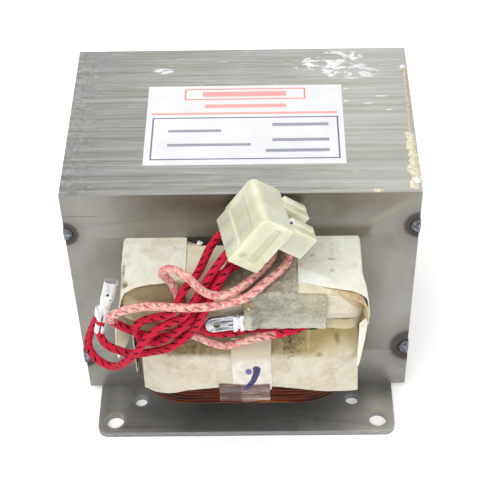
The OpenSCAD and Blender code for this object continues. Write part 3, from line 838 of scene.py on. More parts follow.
def plate_material():
    m = Mat("plate_steel", Metallic=0.6)
    big = m.noise(0.05, 3.0, 0.55)
    grain = m.noise(1.6, 4.0, 0.7, vec=m.scaled(1, 1, 1))
    brushed = m.noise(1.0, 3.0, 0.6, vec=m.scaled(0.08, 2.0, 1))
    base = m.ramp(m.add(m.mul(big, 0.55), m.add(m.mul(grain, 0.25), m.mul(brushed, 0.2))),
                  (0.34, col(112, 111, 107)), (0.52, col(130, 129, 125)), (0.70, col(146, 146, 143)))
    speck = m.step(m.voronoi(0.42), 0.055, 0.02)
    base = m.mix(m.mul(speck, 0.55), base, col(214, 212, 200))
    stain = m.mul(m.step(m.noise(0.11, 4.0, 0.6, vec=m.scaled(1, 1, 1, loc=(5, 2, 0))), 0.56, 0.68), 0.35)
    base = m.mix(stain, base, col(96, 92, 80))
    # painted light: the right front of the plate's top made paler
    base = m.mix(m.mul(m.step(m.x, 22, 44), m.step(m.y, -36, -44)), base, m.mix(0.6, base, col(206, 202, 192)))
    # bright worn metal on the rim and round the holes
    for sx in (-1, 1):
        for sy in (-1, 1):
            d = m.disc(m.x, m.y, 42.9 * sx, 48.7 * sy, 3.7, 3.7, 0.10)
            base = m.mix(m.mul(d, 0.40), base, col(176, 168, 148))
            d = m.disc(m.x, m.y, 34.9 * sx, 40.5 * sy, 2.9, 2.9, 0.12)
            base = m.mix(m.mul(d, 0.35), base, col(150, 152, 158))
    rim = m.step(m.z, 2.28, 1.9)
    base = m.mix(m.mul(rim, 0.75), base, m.ramp(m.noise(1.0, 3.0, 0.6, vec=m.scaled(0.3, 0.3, 2.4)), (0.35, col(118, 118, 124)), (0.6, col(158, 158, 166))))
    # darker along the foot of the plate's edge
    base = m.mix(m.mul(m.step(m.z, 0.75, 0.35), 0.55), base, col(96, 94, 92))
    m.set(Base_Color=base, Roughness=m.step(big, 0.3, 0.7, 0.40, 0.50))
    m.set(Normal=m.bump(m.add(grain, m.mul(brushed, 0.4)), 0.16, 0.1))
    return m.m


def base_plate():
    ob = prism("plate", round_rect(48.3, 53.5, 3.2, 9), "Z", 0, 2.3, plate_material())
    cs = []
    for sx in (-1, 1):
        for sy in (-1, 1):
            cs.append(cylinder((42.9 * sx, 48.7 * sy, -1), (42.9 * sx, 48.7 * sy, 4), 2.9, 48))
            cs.append(cylinder((34.9 * sx, 40.5 * sy, -1), (34.9 * sx, 40.5 * sy, 4), 2.2, 40))
    cut(ob, *cs)
    bevel(ob, 0.42, 3)
    piece(ob, ("base_plate",))


base_plate()


# ------------------------------------------------------------------- coils

def loop_path(hx, hy, r, na=14, nl=10):
    """Rounded rectangle with the same count of points for every size."""
    out = []
    for cx, cy, a in ((hx - r, hy - r, 0), (-hx + r, hy - r, 90), (-hx + r, -hy + r, 180), (hx - r, -hy + r, 270)):
        out += arc(cx, cy, r, a, a + 90, na)
        a2 = a + 90
        nx = {90: (-hx + r, hy), 180: (-hx, -hy + r), 270: (hx - r, -hy), 360: (hx, hy - r)}[a2]
        x0, y0 = out[-1]
        out += [(lerp(x0, nx[0], k / nl), lerp(y0, nx[1], k / nl)) for k in range(1, nl)]
    return np.array(out)


def winding(name, outer, inner, profile, mat, seed=0.0, wav=0.06):
    """Ring whose section is a list of (share of the way in, outward push in mm, height)."""
    po, pi = loop_path(*outer), loop_path(*inner)
    nrm = np.roll(po, -1, 0) - np.roll(po, 1, 0)
    nrm = np.stack([nrm[:, 1], -nrm[:, 0]], 1)
    nrm /= np.linalg.norm(nrm, axis=1, keepdims=True)
    k, m = len(po), len(profile)
    v = []
    for i in range(k):
        for w, push, z in profile:
            x, y = po[i] * (1 - w) + pi[i] * w + nrm[i] * push
            zz = z + wav * wob(x, y, z * 3, 0.07, seed)
            v.append((x, y, zz))
    f = []
    for i in range(k):
        i2 = (i + 1) % k
        for j in range(m):
            j2 = (j + 1) % m
            f.append((i * m + j, i2 * m + j, i2 * m + j2, i * m + j2))
    ob = add(name, v, f, mat)
    return ob


def turns(z0, z1, n, per=6, depth=0.62):
    """Outer profile of n stacked round turns."""
    out, h = [], (z1 - z0) / n
    for i in range(n):
        for k in range(per):
            t = -1 + 2 * (k + 0.5) / per
            out.append((0.0, -depth * h / 2 * (1 - math.sqrt(max(0.0, 1 - (t * 0.985) ** 2))), z0 + h * (i + (t + 1) / 2)))
    return out


def flats(z, n, way, per=5, w0=0.03, w1=0.97, h=1.4):
    """Top or underside of a coil as n concentric turns."""
    out = []
    for i in range(n):
        for k in range(per):
            t = -1 + 2 * (k + 0.5) / per
            w = lerp(w0, w1, (i + (t + 1) / 2) / n)
            out.append((w, 0.0, z - way * 0.28 * h * (1 - math.sqrt(max(0.0, 1 - (t * 0.97) ** 2)))))
    return out


def copper_material():
    m = Mat("copper_wire", Metallic=0.97, Roughness=0.26)
    n1 = m.noise(1.0, 3.0, 0.6, vec=m.scaled(0.10, 0.10, 0.9))
    n2 = m.noise(0.06, 2.0)
    base = m.ramp(m.add(m.mul(n1, 0.6), m.mul(n2, 0.4)), (0.32, col(36, 12, 4)), (0.46, col(62, 24, 8)), (0.60, col(104, 44, 14)), (0.80, col(190, 98, 36)))
    # painted shade in the grooves between the turns
    h = (43.7 - 20.3) / 16
    ph = m.math("FRACT", m.math("DIVIDE", m.sub(m.z, 20.3), h))
    groove = m.math("ABSOLUTE", m.sub(ph, 0.5))
    base = m.mix(m.step(groove, 0.36, 0.49, 0.0, 0.85), base, col(42, 12, 8))
    m.set(Base_Color=base)
    m.set(Normal=m.bump(m.noise(1.4, 3.0, 0.6, vec=m.scaled(0.3, 0.3, 1)), 0.10, 0.1))
    return m.m


def coils():
    mc = copper_material()
    prof = turns(20.3, 43.7, 16) + flats(43.7, 11, 1) + [(1, 0, 43.5), (1, 0, 20.5)] + flats(20.3, 11, -1)[::-1]
    ob = winding("copper_turns", (34.2, 56, 17), (18.2, 37.6, 1.5), prof, mc, 1.0)
    piece(ob, ("primary_coil",))
    # secondary: many fine turns under varnish, seen only under the papers
    m = Mat("fine_wire", Metallic=0.45, Roughness=0.38)
    n1 = m.noise(1.0, 3.0, 0.6, vec=m.scaled(0.05, 0.05, 3.2))
    base = m.ramp(n1, (0.30, col(98, 52, 24)), (0.55, col(150, 92, 46)), (0.78, col(196, 140, 84)))
    stain = m.noise(0.12, 4.0, 0.6)
    base = m.mix(m.step(stain, 0.45, 0.65, 0.0, 0.6), base, col(126, 108, 72))
    m.set(Base_Color=base, Normal=m.bump(n1, 0.5, 0.15))
    prof = turns(57, 71.4, 36, 4, 0.7) + flats(71.3, 8, 1, h=0.5) + [(1, 0, 71.2), (1, 0, 57.2)] + flats(57.1, 30, -1, 4, h=0.45)[::-1]
    ob = winding("fine_turns", (34.2, 55.5, 17), (18.2, 37.6, 1.5), prof, m.m, 3.0, 0.04)
    piece(ob, ("secondary_coil",))


coils()


# ------------------------------------------------------------------ papers

def paper_material(name, tint=0.0, stain=0.5, rough=0.78, glow=0.08, marks=()):
    """Cable paper: cream, faintly fibrous, tanned where varnish soaked in."""
    m = Mat(name, Roughness=rough, Specular_IOR_Level=0.3)
    fib = m.noise(1.0, 4.0, 0.65, vec=m.scaled(2.4, 1.1, 1.1, rot=(0, 0, 20)))
    mott = m.noise(0.22, 4.0, 0.6)
    big = m.noise(0.07, 3.0, 0.55, vec=m.scaled(1, 1, 1, loc=(4, 7, 2)))
    base = m.ramp(m.add(m.mul(fib, 0.35), m.mul(mott, 0.65)),
                  (0.30, col(212 - tint * 22, 204 - tint * 26, 182 - tint * 34)), (0.50, col(232 - tint * 14, 226 - tint * 18, 208 - tint * 28)), (0.70, col(242 - tint * 10, 238 - tint * 12, 224 - tint * 20)))
    base = m.mix(m.step(big, 0.48, 0.72, 0.0, stain), base, col(186, 168, 130))
    ring = m.math("ABSOLUTE", m.sub(big, 0.56))
    base = m.mix(m.step(ring, 0.018, 0.004, 0.0, stain * 0.5), base, col(156, 134, 92))
    for fn in marks:
        base = fn(m, base)
    fleck = m.step(m.voronoi(0.8, vec=m.scaled(1, 1, 1, loc=(1, 3, 5))), 0.06, 0.02)
    base = m.mix(m.mul(fleck, 0.35), base, col(140, 124, 96))
    m.set(Base_Color=base)
    m.set(Normal=m.bump(m.add(m.mul(fib, 0.5), m.mul(mott, 1.2)), 0.22, 0.16))
    m.b.inputs["Subsurface Weight"].default_value = glow
    m.b.inputs["Subsurface Radius"].default_value = (0.0012, 0.0008, 0.0005)
    m.b.inputs["Subsurface Scale"].default_value = 1.0
    return m.m


def near(px, pz, ax, az, bx, bz):
    """Distance in mm from a point to a stretch of line."""
    dx, dz = bx - ax, bz - az
    t = max(0.0, min(1.0, ((px - ax) * dx + (pz - az) * dz) / (dx * dx + dz * dz)))
    return math.hypot(px - ax - t * dx, pz - az - t * dz)


def table(*pairs):
    xs, ys = [p[0] for p in pairs], [p[1] for p in pairs]
    return lambda x: float(np.interp(x, xs, ys))


def spots(*places, colour=(120, 108, 84), amount=0.6):
    """Small stains at (u, v, size) on two coordinates: 'xy' or 'xz'."""
    def fn(m, base):
        for axes, u, v, ru, rv, k in places:
            a, b = (m.x, m.y) if axes == "xy" else ((m.x, m.z) if axes == "xz" else (m.y, m.z))
            n = m.step(m.noise(1.3, 3.0, 0.7), 0.36, 0.56)
            base = m.mix(m.mul(m.mul(m.disc(a, b, u, v, ru, rv, 0.5), n), amount * k), base, col(*colour))
        return base
    return fn


# Folded slot liners: a flap over the top of the coil, a curled edge and a
# side wall that flares where it leaves the core.

def liner(name, side, mat, front_flap, front_wall, wall_out, radius, bottom, z_top, s_lim=(0.0, 1.0), inset=0.0, past=0.0,
          power=1.7, start=44.0, thick=0.36, seed=0.0, back=True, ns=84, sag=None, turn=0.0):
    s_all = np.linspace(s_lim[0], s_lim[1], ns)

    def profile(s, y):
        inside = abs(y) < 34.15
        r = 0.7 if inside else radius(y)
        xi = 17.7 if inside else (16.2 if side < 0 else 16.4)
        xo = (34.85 if inside else 34.95) - inset
        zt, zb = z_top(y), bottom(y)
        L1 = xo - r - xi
        L2 = math.pi / 2 * r
        L3 = zt - r - zb
        d = s * (L1 + L2 + L3)
        if d < L1:
            x, z, w = xi + d, zt, 0.0
        elif d < L1 + L2:
            a = (d - L1) / r
            x, z, w = xo - r + r * math.sin(a), zt - r + r * math.cos(a), 0.0
        else:
            x, z, w = xo, zt - r - (d - L1 - L2), 1.0
        if y < -start:
            k = min(1.1, (-y - start) / (-front_wall(z) - start)) ** power if power else 0.6 * sstep(start, start + 6.5, -y) + 0.4 * min(1.1, (-y - start) / 10.0) ** 1.5
        else:
            k = 0.25 * sstep(44.0, 56.0, y) if y > 0 else 0.0
        x += (wall_out(z) - 34.95) * k * sstep(xo - 5.0, xo, x)
        if sag:
            z += sag(x, z, y)
        z -= inset * (1 - w)
        z += 0.10 * wob(x, y, z, 0.16, seed) * (1 - w)
        x += (0.20 * wob(x, y, z, 0.10, seed + 3) * w) * (1 if abs(y) > 35 else 0.15)
        return x, z

    def front(s):
        x, z = profile(s, -54.0)
        return front_flap(x) if z > z_top(-54) - 0.8 and x < 34.2 else front_wall(z)

    fr = [front(s) - past for s in s_all]
    sm = np.convolve(np.r_[[fr[0]] * 3, fr, [fr[-1]] * 3], np.ones(7) / 7, "valid")
    P = []
    for y in np.linspace(56.2, -33.6, 26) if back else []:
        P.append([(side * profile(s, y)[0], y, profile(s, y)[1]) for s in s_all])
    for t in np.linspace(0, 1, 46):
        row = []
        for s, f in zip(s_all, sm):
            y = lerp(-34.3, f, t)
            x, z = profile(s, y)
            if turn and y - f < 2.8:
                x = lerp(x, turn, (1 - (y - f) / 2.8) ** 1.6 * sstep(62.5, 59.0, z))
            row.append((side * x, y, z))
        P.append(row)
    return sheet(name, np.array(P), thick, mat)


PAPER_LINER_L = paper_material("liner_paper_left", 0.0, 0.30, glow=0.55, marks=(
    spots(("xy", -34.3, -47.5, 0.5, 3.2, 1.0), ("xy", -33.8, -52.0, 0.6, 1.6, 0.9), ("yz", -50.0, 70.0, 2.4, 0.9, 0.5), colour=(52, 48, 44), amount=0.9),
    # painted light: the lower outer tail of the left wall made paler
    lambda m, b: m.mix(m.mul(m.mul(m.step(m.z, 62, 56), m.step(m.x, -33, -34.5)), 0.8), b, col(255, 248, 226)),
    spots(("xy", -23.0, -36.0, 9, 1.2, 0.5), ("xy", -19.0, -49.0, 3.0, 2.2, 0.35), ("yz", -50, 47, 9, 6, 0.3), colour=(196, 178, 140), amount=0.6)))


def fold_painted_light(m, base):
    """Painted highlight on the turned-down corner of the right flap, which catches more light."""
    edge = m.math("SUBTRACT", m.y, m.add(m.mul(m.x, -0.62), -36.2))
    k = m.mul(m.step(edge, 0.35, -0.35), m.step(m.x, 27, 24))
    k = m.mul(k, m.step(m.z, 70.5, 71.5))
    return m.mix(m.mul(k, 0.75), base, col(253, 249, 238))


PAPER_LINER_R = paper_material("liner_paper_right", -0.30, 0.18, glow=0.55, marks=(
    spots(("xy", 26.5, -39.5, 0.35, 3.6, 0.35), ("xy", 26.6, -43.6, 1.3, 0.5, 0.8), ("xy", 26.4, -48.5, 0.8, 0.7, 0.7),
          ("xy", 20.6, -42.0, 0.7, 0.8, 0.6), ("xy", 33.0, -46.0, 0.8, 1.4, 0.2), colour=(140, 118, 100), amount=0.75),
    fold_painted_light))

liner_l = liner("slot_liner_left", -1, PAPER_LINER_L,
                table((16, -50.0), (17.5, -51.0), (19.5, -52.2), (22.4, -52.8), (25.8, -52.9), (29.5, -53.8), (32, -54.6), (34, -55.3)),
                table((36, -50.3), (44, -51.2), (50, -52.6), (57, -54.3), (64, -55.2), (72, -55.4)),
                table((36, 38.7), (44, 38.6), (50, 38.0), (57.6, 37.2), (61, 36.6), (66, 35.4), (70, 34.4), (72, 33.9)),
                lambda y: lerp(0.8, 1.2, sstep(36, 54, abs(y))),
                lambda y: float(np.interp(-y, [36, 40, 44, 50.5], [39.3, 40.8, 41.2, 36.4])),
                lambda y: 72.1, power=1.3,
                sag=lambda x, z, y: (0.35 * sstep(-46, -53, y) * sstep(34, 29, x) * sstep(17, 22, x) - 0.9 * sstep(-44, -55, y) * sstep(29.5, 35, x)) if z > 69 else 0.0, seed=2.0)
piece(liner_l, ("left_slot_liner",))


def right_sag(x, z, y):
    if z < 66:
        return 0.0
    e = (y + 0.62 * x + 36.2)
    dip = -0.75 * sstep(0.4, -6.0, e) * sstep(27, 22, x)
    lift = 0.35 * sstep(-44, -54, y) * sstep(22, 27, x) * sstep(35, 31, x)
    return dip + lift


R_FRONT = table((16, -52.1), (19, -52.7), (21.9, -53.5), (25.1, -55.2), (28, -55.9), (30.1, -56.3), (33.5, -56.9), (35, -57.1))
R_WALL = table((39, -57.0), (60, -57.2), (72, -57.1))
R_OUT = table((39, 35.1), (49, 36.5), (58, 37.1), (64.6, 36.8), (67.6, 36.5), (70, 36.4), (72.5, 36.4))
liner_r = liner("slot_liner_right", 1, PAPER_LINER_R, R_FRONT, R_WALL, R_OUT,
                lambda y: lerp(1.0, 4.2, sstep(44, 57, abs(y)) if y < 0 else 0.2),
                lambda y: 39.3, lambda y: lerp(72.1, 72.5, sstep(36, 50, abs(y))), power=0, start=47.0, sag=right_sag, seed=5.0, turn=34.3)
piece(liner_r, ("right_slot_liner",))

TAN_PLY = paper_material("liner_inner_ply", 1.6, 0.6, marks=(
    spots(("xz", 33, 69, 6, 5, 0.8), colour=(176, 140, 108), amount=0.8),))
ply = liner("slot_liner_right_ply", 1, TAN_PLY, R_FRONT, table((39, -55.0), (60, -56.5), (63, -58.3), (72, -58.0)),
            R_OUT, lambda y: lerp(1.0, 4.4, sstep(44, 57, abs(y))),
            lambda y: 39.3, lambda y: lerp(72.1, 72.5, sstep(36, 50, abs(y))), s_lim=(0.19, 0.57), inset=0.62, past=1.35,
            seed=8.0, back=False, ns=40)
piece(ply, ("right_slot_liner",))


# Papers over the top of the secondary, and its upright faces

def olive(m, base):
    """Varnish pooled beside the board, and painted shade under the front edge of the left flap."""
    n = m.noise(0.5, 4.0, 0.65)
    k = m.mul(m.disc(m.add(m.x, m.mul(m.sub(n, 0.5), 5)), m.y, 0.5, -51.5, 7.0, 5.4, 0.45), m.step(m.y, -40, -45))
    base = m.mix(m.mul(k, 0.9), base, m.ramp(n, (0.3, col(84, 84, 66)), (0.5, col(122, 122, 98)), (0.7, col(160, 160, 134))))
    k2 = m.mul(m.step(m.y, -37.5, -35.8), m.step(m.x, -1, -3))
    base = m.mix(m.mul(k2, 0.7), base, col(112, 100, 76))
    # painted shade on the paper under the front edge of the left flap, darker near the edge as painted shadow and a
    # varnish stain
    k3 = m.mul(m.step(m.x, -15.0, -17.0), m.step(m.y, -51.0, -52.5))
    tan = m.ramp(m.noise(0.3, 4.0, 0.6, vec=m.scaled(0.6, 1, 0.5)), (0.32, col(150, 134, 100)), (0.5, col(176, 164, 132)), (0.68, col(196, 188, 162)))
    base = m.mix(m.mul(k3, 0.85), base, tan)
    k4 = m.mul(k3, m.step(m.add(m.z, m.mul(m.add(m.x, 34), 0.22)), 68.4, 71.4))
    base = m.mix(m.mul(k4, 0.75), base, col(112, 92, 58))
    return base


TOP_PAPER = paper_material("top_paper", 0.75, 0.65, marks=(olive,
    spots(("xz", -13, 66, 4, 1.2, 0.5), ("xz", -8, 62, 5, 1.2, 0.6), ("xy", -12.5, -53.6, 6, 0.8, 0.8), colour=(150, 138, 106), amount=0.7)))


def top_front(u, v):
    x = lerp(-33.7, 33.8, u)
    left = sstep(-15.6, -19.0, x)
    drop = max(1.4 + 9.4 * sstep(-16.6, -15.9, x) * sstep(1.2, 0.4, x), 10.2 * sstep(-15.6, -16.2, x))
    back = -34.3 - 2.7 * min(1.0, max(0.0, (x + 17.8) / 6.0)) * sstep(-4.0, -5.0, x)
    r = lerp(1.1, 2.4, left)
    yf = lerp(-55.55, -53.7, left) + 0.15 * sstep(0.6, 1.4, x) + 1.6 * max(0.0, (-29.0 - x) / 4.7) ** 2
    L1 = back - yf
    L2 = math.pi / 2 * r
    L3 = max(0.0, drop - r)
    d = v * (L1 + L2 + L3)
    if d <= L1:
        y, z = back - d, 71.66
    elif d < L1 + L2:
        a = (d - L1) / r
        y, z = yf - r * math.sin(a), 71.66 - r + r * math.cos(a)
    else:
        y, z = yf - r - 0.04 * (d - L1 - L2), 71.66 - r - (d - L1 - L2)
    z += 0.12 * wob(x, y, z, 0.2, 4.0)
    y -= 0.20 * wob(x, z, y, 0.22, 9.0) * (1 if z < 70 else 0)
    return x, y, z


ob = sheet("top_paper_front", grid(150, 70, top_front), 0.34, TOP_PAPER)
piece(ob, ("top_sheet_front",))
ob = sheet("top_paper_back", grid(50, 24, lambda u, v: (lerp(-33.8, 33.8, u), lerp(34.4, 55.1, v),
           71.66 + 0.14 * wob(lerp(-33.8, 33.8, u), v * 21, 0, 0.15, 3.0))), 0.34, TOP_PAPER)
piece(ob, ("top_sheet_back",))


def tan_face(m, base):
    left = m.step(m.x, -14, -18)
    base = m.mix(m.mul(left, 0.75), base, m.ramp(m.noise(0.25, 4.0, 0.6), (0.3, col(156, 138, 104)), (0.5, col(184, 169, 136)), (0.7, col(206, 196, 168))))
    # a paler line along the foot of the left face, and painted shade below it where the paper turns under
    foot = m.add(m.z, m.mul(m.add(m.x, 34), 0.05))
    base = m.mix(m.mul(m.mul(left, m.window(foot, 59.3, 59.8, 0.2)), 0.7), base, col(214, 204, 172))
    base = m.mix(m.mul(m.mul(left, m.step(foot, 59.3, 58.9)), 0.85), base, col(112, 96, 62))
    # painted shadow of the left flap's arch across the top of the face
    arch = m.mul(left, m.step(m.add(m.z, m.mul(m.mx(m.sub(-27.0, m.x), 0.0), 0.35)), 68.0, 70.6))
    base = m.mix(m.mul(arch, 0.8), base, col(112, 92, 58))
    corner = m.mul(m.step(m.x, -31.5, -33.0), m.step(m.z, 63.0, 66.0))
    base = m.mix(m.mul(corner, 0.8), base, col(190, 164, 112))
    # the folded ends at the right, all a little darker: a curled ply, a fold line painted darker as shade in its
    # crease, a paler strip, then a roll painted as shadow
    right = m.step(m.x, 22.5, 23.5)
    base = m.mix(m.mul(right, 0.16), base, col(0, 0, 0))
    lip = m.add(66.2, m.sub(m.mul(m.mx(m.sub(32.3, m.x), 0.0), 1.21), m.mul(m.mx(m.sub(m.x, 32.3), 0.0), 0.67)))
    curl = m.mul(m.mul(right, m.step(m.sub(m.z, lip), -0.6, 0.5)), m.step(m.x, 25.5, 27.0))
    base = m.mix(m.mul(curl, 0.85), base, m.ramp(m.noise(0.5, 3.0), (0.3, col(178, 150, 112)), (0.7, col(206, 182, 146))))
    base = m.mix(m.mul(m.mul(right, m.step(m.z, 63.0, 62.8)), 0.55), base, col(196, 190, 176))
    t = m.mul(m.sub(m.x, 30.0), 1 / 6.0)
    bow = m.mx(m.inv(m.mul(t, t)), 0.0)
    roll = m.sub(m.z, m.sub(59.9, m.mul(bow, 1.1)))
    shade = m.mul(m.mul(m.step(m.z, 60.3, 59.6), m.step(roll, -0.35, 0.25)), right)
    base = m.mix(m.mul(shade, 0.85), base, m.ramp(m.noise(0.6, 3.0), (0.3, col(122, 104, 58)), (0.7, col(160, 142, 94))))
    base = m.mix(m.mul(m.mul(right, m.step(roll, 0.1, -0.5)), 0.7), base, col(190, 172, 134))
    end = m.mul(m.step(m.x, 34.6, 35.2), m.step(m.z, 59.0, 60.5))
    base = m.mix(m.mul(end, 0.85), base, m.ramp(m.noise(0.6, 3.0), (0.3, col(168, 140, 84)), (0.7, col(202, 178, 124))))
    line = m.mul(m.window(m.z, 62.85, 63.1, 0.15), right)
    return m.mix(m.mul(line, 0.75), base, col(140, 124, 96))


FACE_PAPER = paper_material("face_paper", 0.45, 0.40, marks=(tan_face,))


def face_front(u, v):
    x = lerp(-34.5, 36.2, u)
    low = 57.3 - 4.4 * sstep(-14.5, -17.0, x)
    z = lerp(low, 71.15 - 3.0 * sstep(-33.0, -34.4, x), v)
    x = min(x, 36.2 - 1.8 * sstep(63.5, 69.0, z))
    y = -56.1
    if x < -15.5:
        y += 0.9 * sstep(-15.5, -18.0, x)
        y += 1.3 * max(0.0, (-30.0 - x) / 4.5) ** 2
        y += 0.3 * sstep(66, 60, z) + 1.6 * sstep(59.2, 53.5, z)
        y += 0.5 * sstep(67.5, 71.0, z)
    if x > 23:
        k = sstep(23.0, 25.5, x)
        y -= 0.45 * k * (1 if z > 62.9 else 0.0)
        y += 0.5 * k * sstep(62.9, 60.5, z)
        y += 0.9 * k * sstep(60.4, 59.5, z)
        y -= 2.0 * k * sstep(59.4, 57.3, z) * sstep(36.0, 31.0, x)
        y += 1.5 * min(1.2, max(0.0, (x - 32.4) / 2.6)) ** 2
        if z < 60:
            z += 0.6 * k * math.sin((x - 25) / 10 * math.pi) * sstep(60, 57.3, z) * -1.0
    y += 0.14 * wob(x, z, 0, 0.22, 6.0)
    return x, y, z


ob = sheet("secondary_face_front", grid(150, 44, face_front), 0.36, FACE_PAPER)
piece(ob, ("secondary_front_sheet",))


def face_back(u, v):
    x = lerp(-34.0, 34.0, u)
    z = lerp(57.4, 70.2, v)
    return x, 56.2 - 4.5 * max(0.0, (abs(x) - 29.5) / 4.5) ** 2 + 0.2 * wob(x, z, 3, 0.15, 2.0), z


ob = sheet("secondary_face_back", grid(80, 20, face_back), 0.36, FACE_PAPER)
piece(ob, ("secondary_back_sheet",))


# Paper over the front of the primary

LOW_Z = table((-31.6, 20.7), (-26, 23.9), (-18, 28.0), (-3.6, 29.9), (10, 29.5), (18, 28.1), (28, 24.6), (35.4, 20.9))
CREASES = (((-27.0, 37.0), (-24.0, 43.0), 0.9, -0.45), ((-22.0, 40.0), (-15.5, 31.0), 0.8, 0.55), ((-29.5, 25.0), (-22.0, 40.0), 1.2, 0.45),
           ((-30.0, 24.0), (-18.0, 31.0), 1.0, -0.30), ((19.0, 45.0), (29.0, 50.0), 1.3, -0.4), ((12.5, 44.5), (20.0, 44.5), 1.0, -0.3),
           ((28.5, 30.0), (33.0, 42.0), 1.6, 0.3), ((-10, 34.5), (-4, 31.0), 1.1, 0.2))


def primary_front_point(x, z, lift=0.0):
    wrap = 7.2 * max(0.0, (-x - 16.5) / 15.1) ** 1.9 if x < 0 else 5.2 * max(0.0, (x - 17.5) / 18.0) ** 1.9
    y = -56.35 + wrap * lerp(1.0, 0.25, sstep(34, 47, z))
    # above the coil the sheet leans in
    y += 2.3 * sstep(43.2, 50.5, z)
    fold = 0.0
    for (a, b, w, amp) in CREASES:
        d = near(x, z, a[0], a[1], b[0], b[1])
        fold += amp * math.exp(-(d / w) ** 2)
    y -= fold - 0.16 * wob(x, z, 0, 0.13, 7.0)
    ax = max(0.0, min(16.9, abs(x) - 17.2))
    y = lerp(min(y, -(39.0 + math.sqrt(289.0 - ax * ax)) - 0.42), y, sstep(44.2, 51.0, z))
    return x, y - lift, z


def primary_front(u, v):
    xl = lerp(-31.6, -31.0, v)
    xr = lerp(35.4, 34.1, v)
    x = lerp(xl, xr, u)
    top = 53.2 + 0.7 * sstep(22.1, 22.7, x)
    z = lerp(LOW_Z(x), top, v)
    return primary_front_point(x, z)


def front_stains_and_shade(m, base):
    n = m.noise(0.35, 4.0, 0.6)
    zz = m.add(m.z, m.mul(m.sub(n, 0.5), 2.6))
    # above the coil the sheet leans in under the secondary: painted shade with brown varnish stains, darkest just under
    # the board
    arch = m.sub(zz, m.mul(m.mx(m.sub(m.x, 20.5), 0.0), 0.70))
    up = m.mul(m.step(arch, 42.4, 46.6), m.step(m.x, 33.0, 28.0, 0.35, 1.0))
    base = m.mix(m.mul(up, 0.92), base, m.ramp(m.noise(0.3, 4.0, 0.6), (0.3, col(108, 92, 54)), (0.5, col(146, 129, 86)), (0.7, col(178, 164, 122))))
    base = m.mix(m.mul(m.mul(m.step(zz, 47.5, 52.0), m.step(m.x, 31.0, 25.0)), 0.55), base, col(84, 68, 38))
    arch2 = m.sub(zz, m.mul(m.mx(m.sub(m.x, 26.0), 0.0), 0.45))
    base = m.mix(m.mul(m.mul(m.step(arch2, 39.5, 47.0), m.step(m.x, 12.0, 22.0)), 0.6), base, col(196, 172, 112))
    # black soot stains
    soot = m.step(m.noise(1.1, 5.0, 0.78), 0.50, 0.60)
    for cx, cz, rx, rz, k in ((15.3, 49.8, 3.4, 1.8, 1.0), (14.5, 46.8, 3.0, 3.2, 0.75), (13.5, 45.0, 2.2, 2.2, 0.6), (-17.5, 48.0, 5.5, 2.6, 0.8), (-21, 46, 3, 3, 0.5),
                              (-9, 47, 5, 2.5, 0.4), (25.0, 50.5, 1.0, 1.0, 0.4)):
        base = m.mix(m.mul(m.mul(m.disc(m.x, m.z, cx, cz, rx, rz, 0.55), soot), 0.85 * k), base, col(48, 42, 32))
    # crease line with a yellow tint at the right, and a vertical fold
    v = m.mul(m.window(m.x, 19.2, 19.9, 0.4), m.step(m.z, 45.5, 47))
    base = m.mix(m.mul(v, 0.45), base, col(206, 196, 166))
    for cx, cz, rx, rz in ((28.2, 49.2, 0.8, 1.8), (22.5, 44.0, 1.2, 0.9), (31.5, 51.0, 2.2, 2.2)):
        base = m.mix(m.mul(m.disc(m.x, m.z, cx, cz, rx, rz, 0.6), 0.55), base, col(178, 158, 92))
    edge = m.mul(m.step(m.x, 31.0, 34.6), m.step(m.z, 34, 46))
    base = m.mix(m.mul(edge, 0.5), base, col(214, 188, 128))
    for cx, cz, rx, rz, k in ((28.3, 49.6, 0.6, 2.0, 0.55), (22.8, 44.2, 0.9, 0.8, 0.35), (26.5, 53.0, 0.5, 0.5, 0.5), (-14.8, 46.8, 0.9, 1.6, 0.8), (-19.4, 46.4, 1.4, 1.2, 0.6)):
        base = m.mix(m.mul(m.disc(m.add(m.x, m.mul(m.sub(n, 0.5), 3.0)), m.add(m.z, m.mul(m.sub(n, 0.5), 2.0)), cx, cz, rx, rz, 0.95), k), base, col(112, 94, 52))
    base = m.mix(0.18, base, col(0, 0, 0))
    return base


LOW_PAPER = paper_material("primary_paper", 0.42, 0.30, marks=(front_stains_and_shade,))
ob = sheet("primary_face_front", grid(190, 96, primary_front), 0.36, LOW_PAPER)
piece(ob, ("primary_front_sheet",))


def primary_back(u, v):
    x, z = lerp(-32.8, 32.8, u), lerp(24.0, 51.1, v)
    return x, 56.25 - 5.0 * max(0.0, (abs(x) - 17.5) / 15.5) ** 1.9 + 0.2 * wob(x, z, 0, 0.12, 1.5), z


ob = sheet("primary_face_back", grid(90, 40, primary_back), 0.4, paper_material("primary_back_paper", 0.35, 0.35))
piece(ob, ("primary_back_sheet",))
SIDE_PAPER = paper_material("side_paper", 0.2, 0.3)
for s, node in ((-1, "primary_liner_left"), (1, "primary_liner_right")):
    ob = sheet("liner_" + node[-5:].strip("_"), grid(60, 20, lambda u, v: (
        s * (34.72 - 0.12 * abs(wob(u * 80, v * 20, 0, 0.1, 2.0))), lerp(-42.3, 42.3, u), lerp(19.95, 38.7 + 0.4 * wob(u * 80, 0, 0, 0.1, 4.0), v))), 0.3, SIDE_PAPER)
    piece(ob, (node,))

# ------------------------------------------------- formers, shunts, windings


def card_material():
    m = Mat("former_card", Roughness=0.72)
    n = m.noise(0.5, 4.0, 0.6)
    f = m.noise(1.0, 3.0, 0.6, vec=m.scaled(0.4, 0.4, 3.0))
    m.set(Base_Color=m.ramp(m.add(m.mul(n, 0.6), m.mul(f, 0.4)), (0.32, col(150, 126, 88)), (0.52, col(186, 164, 122)), (0.72, col(206, 188, 150))))
    m.set(Normal=m.bump(m.add(f, n), 0.3, 0.12))
    return m.m


M_CARD = card_material()


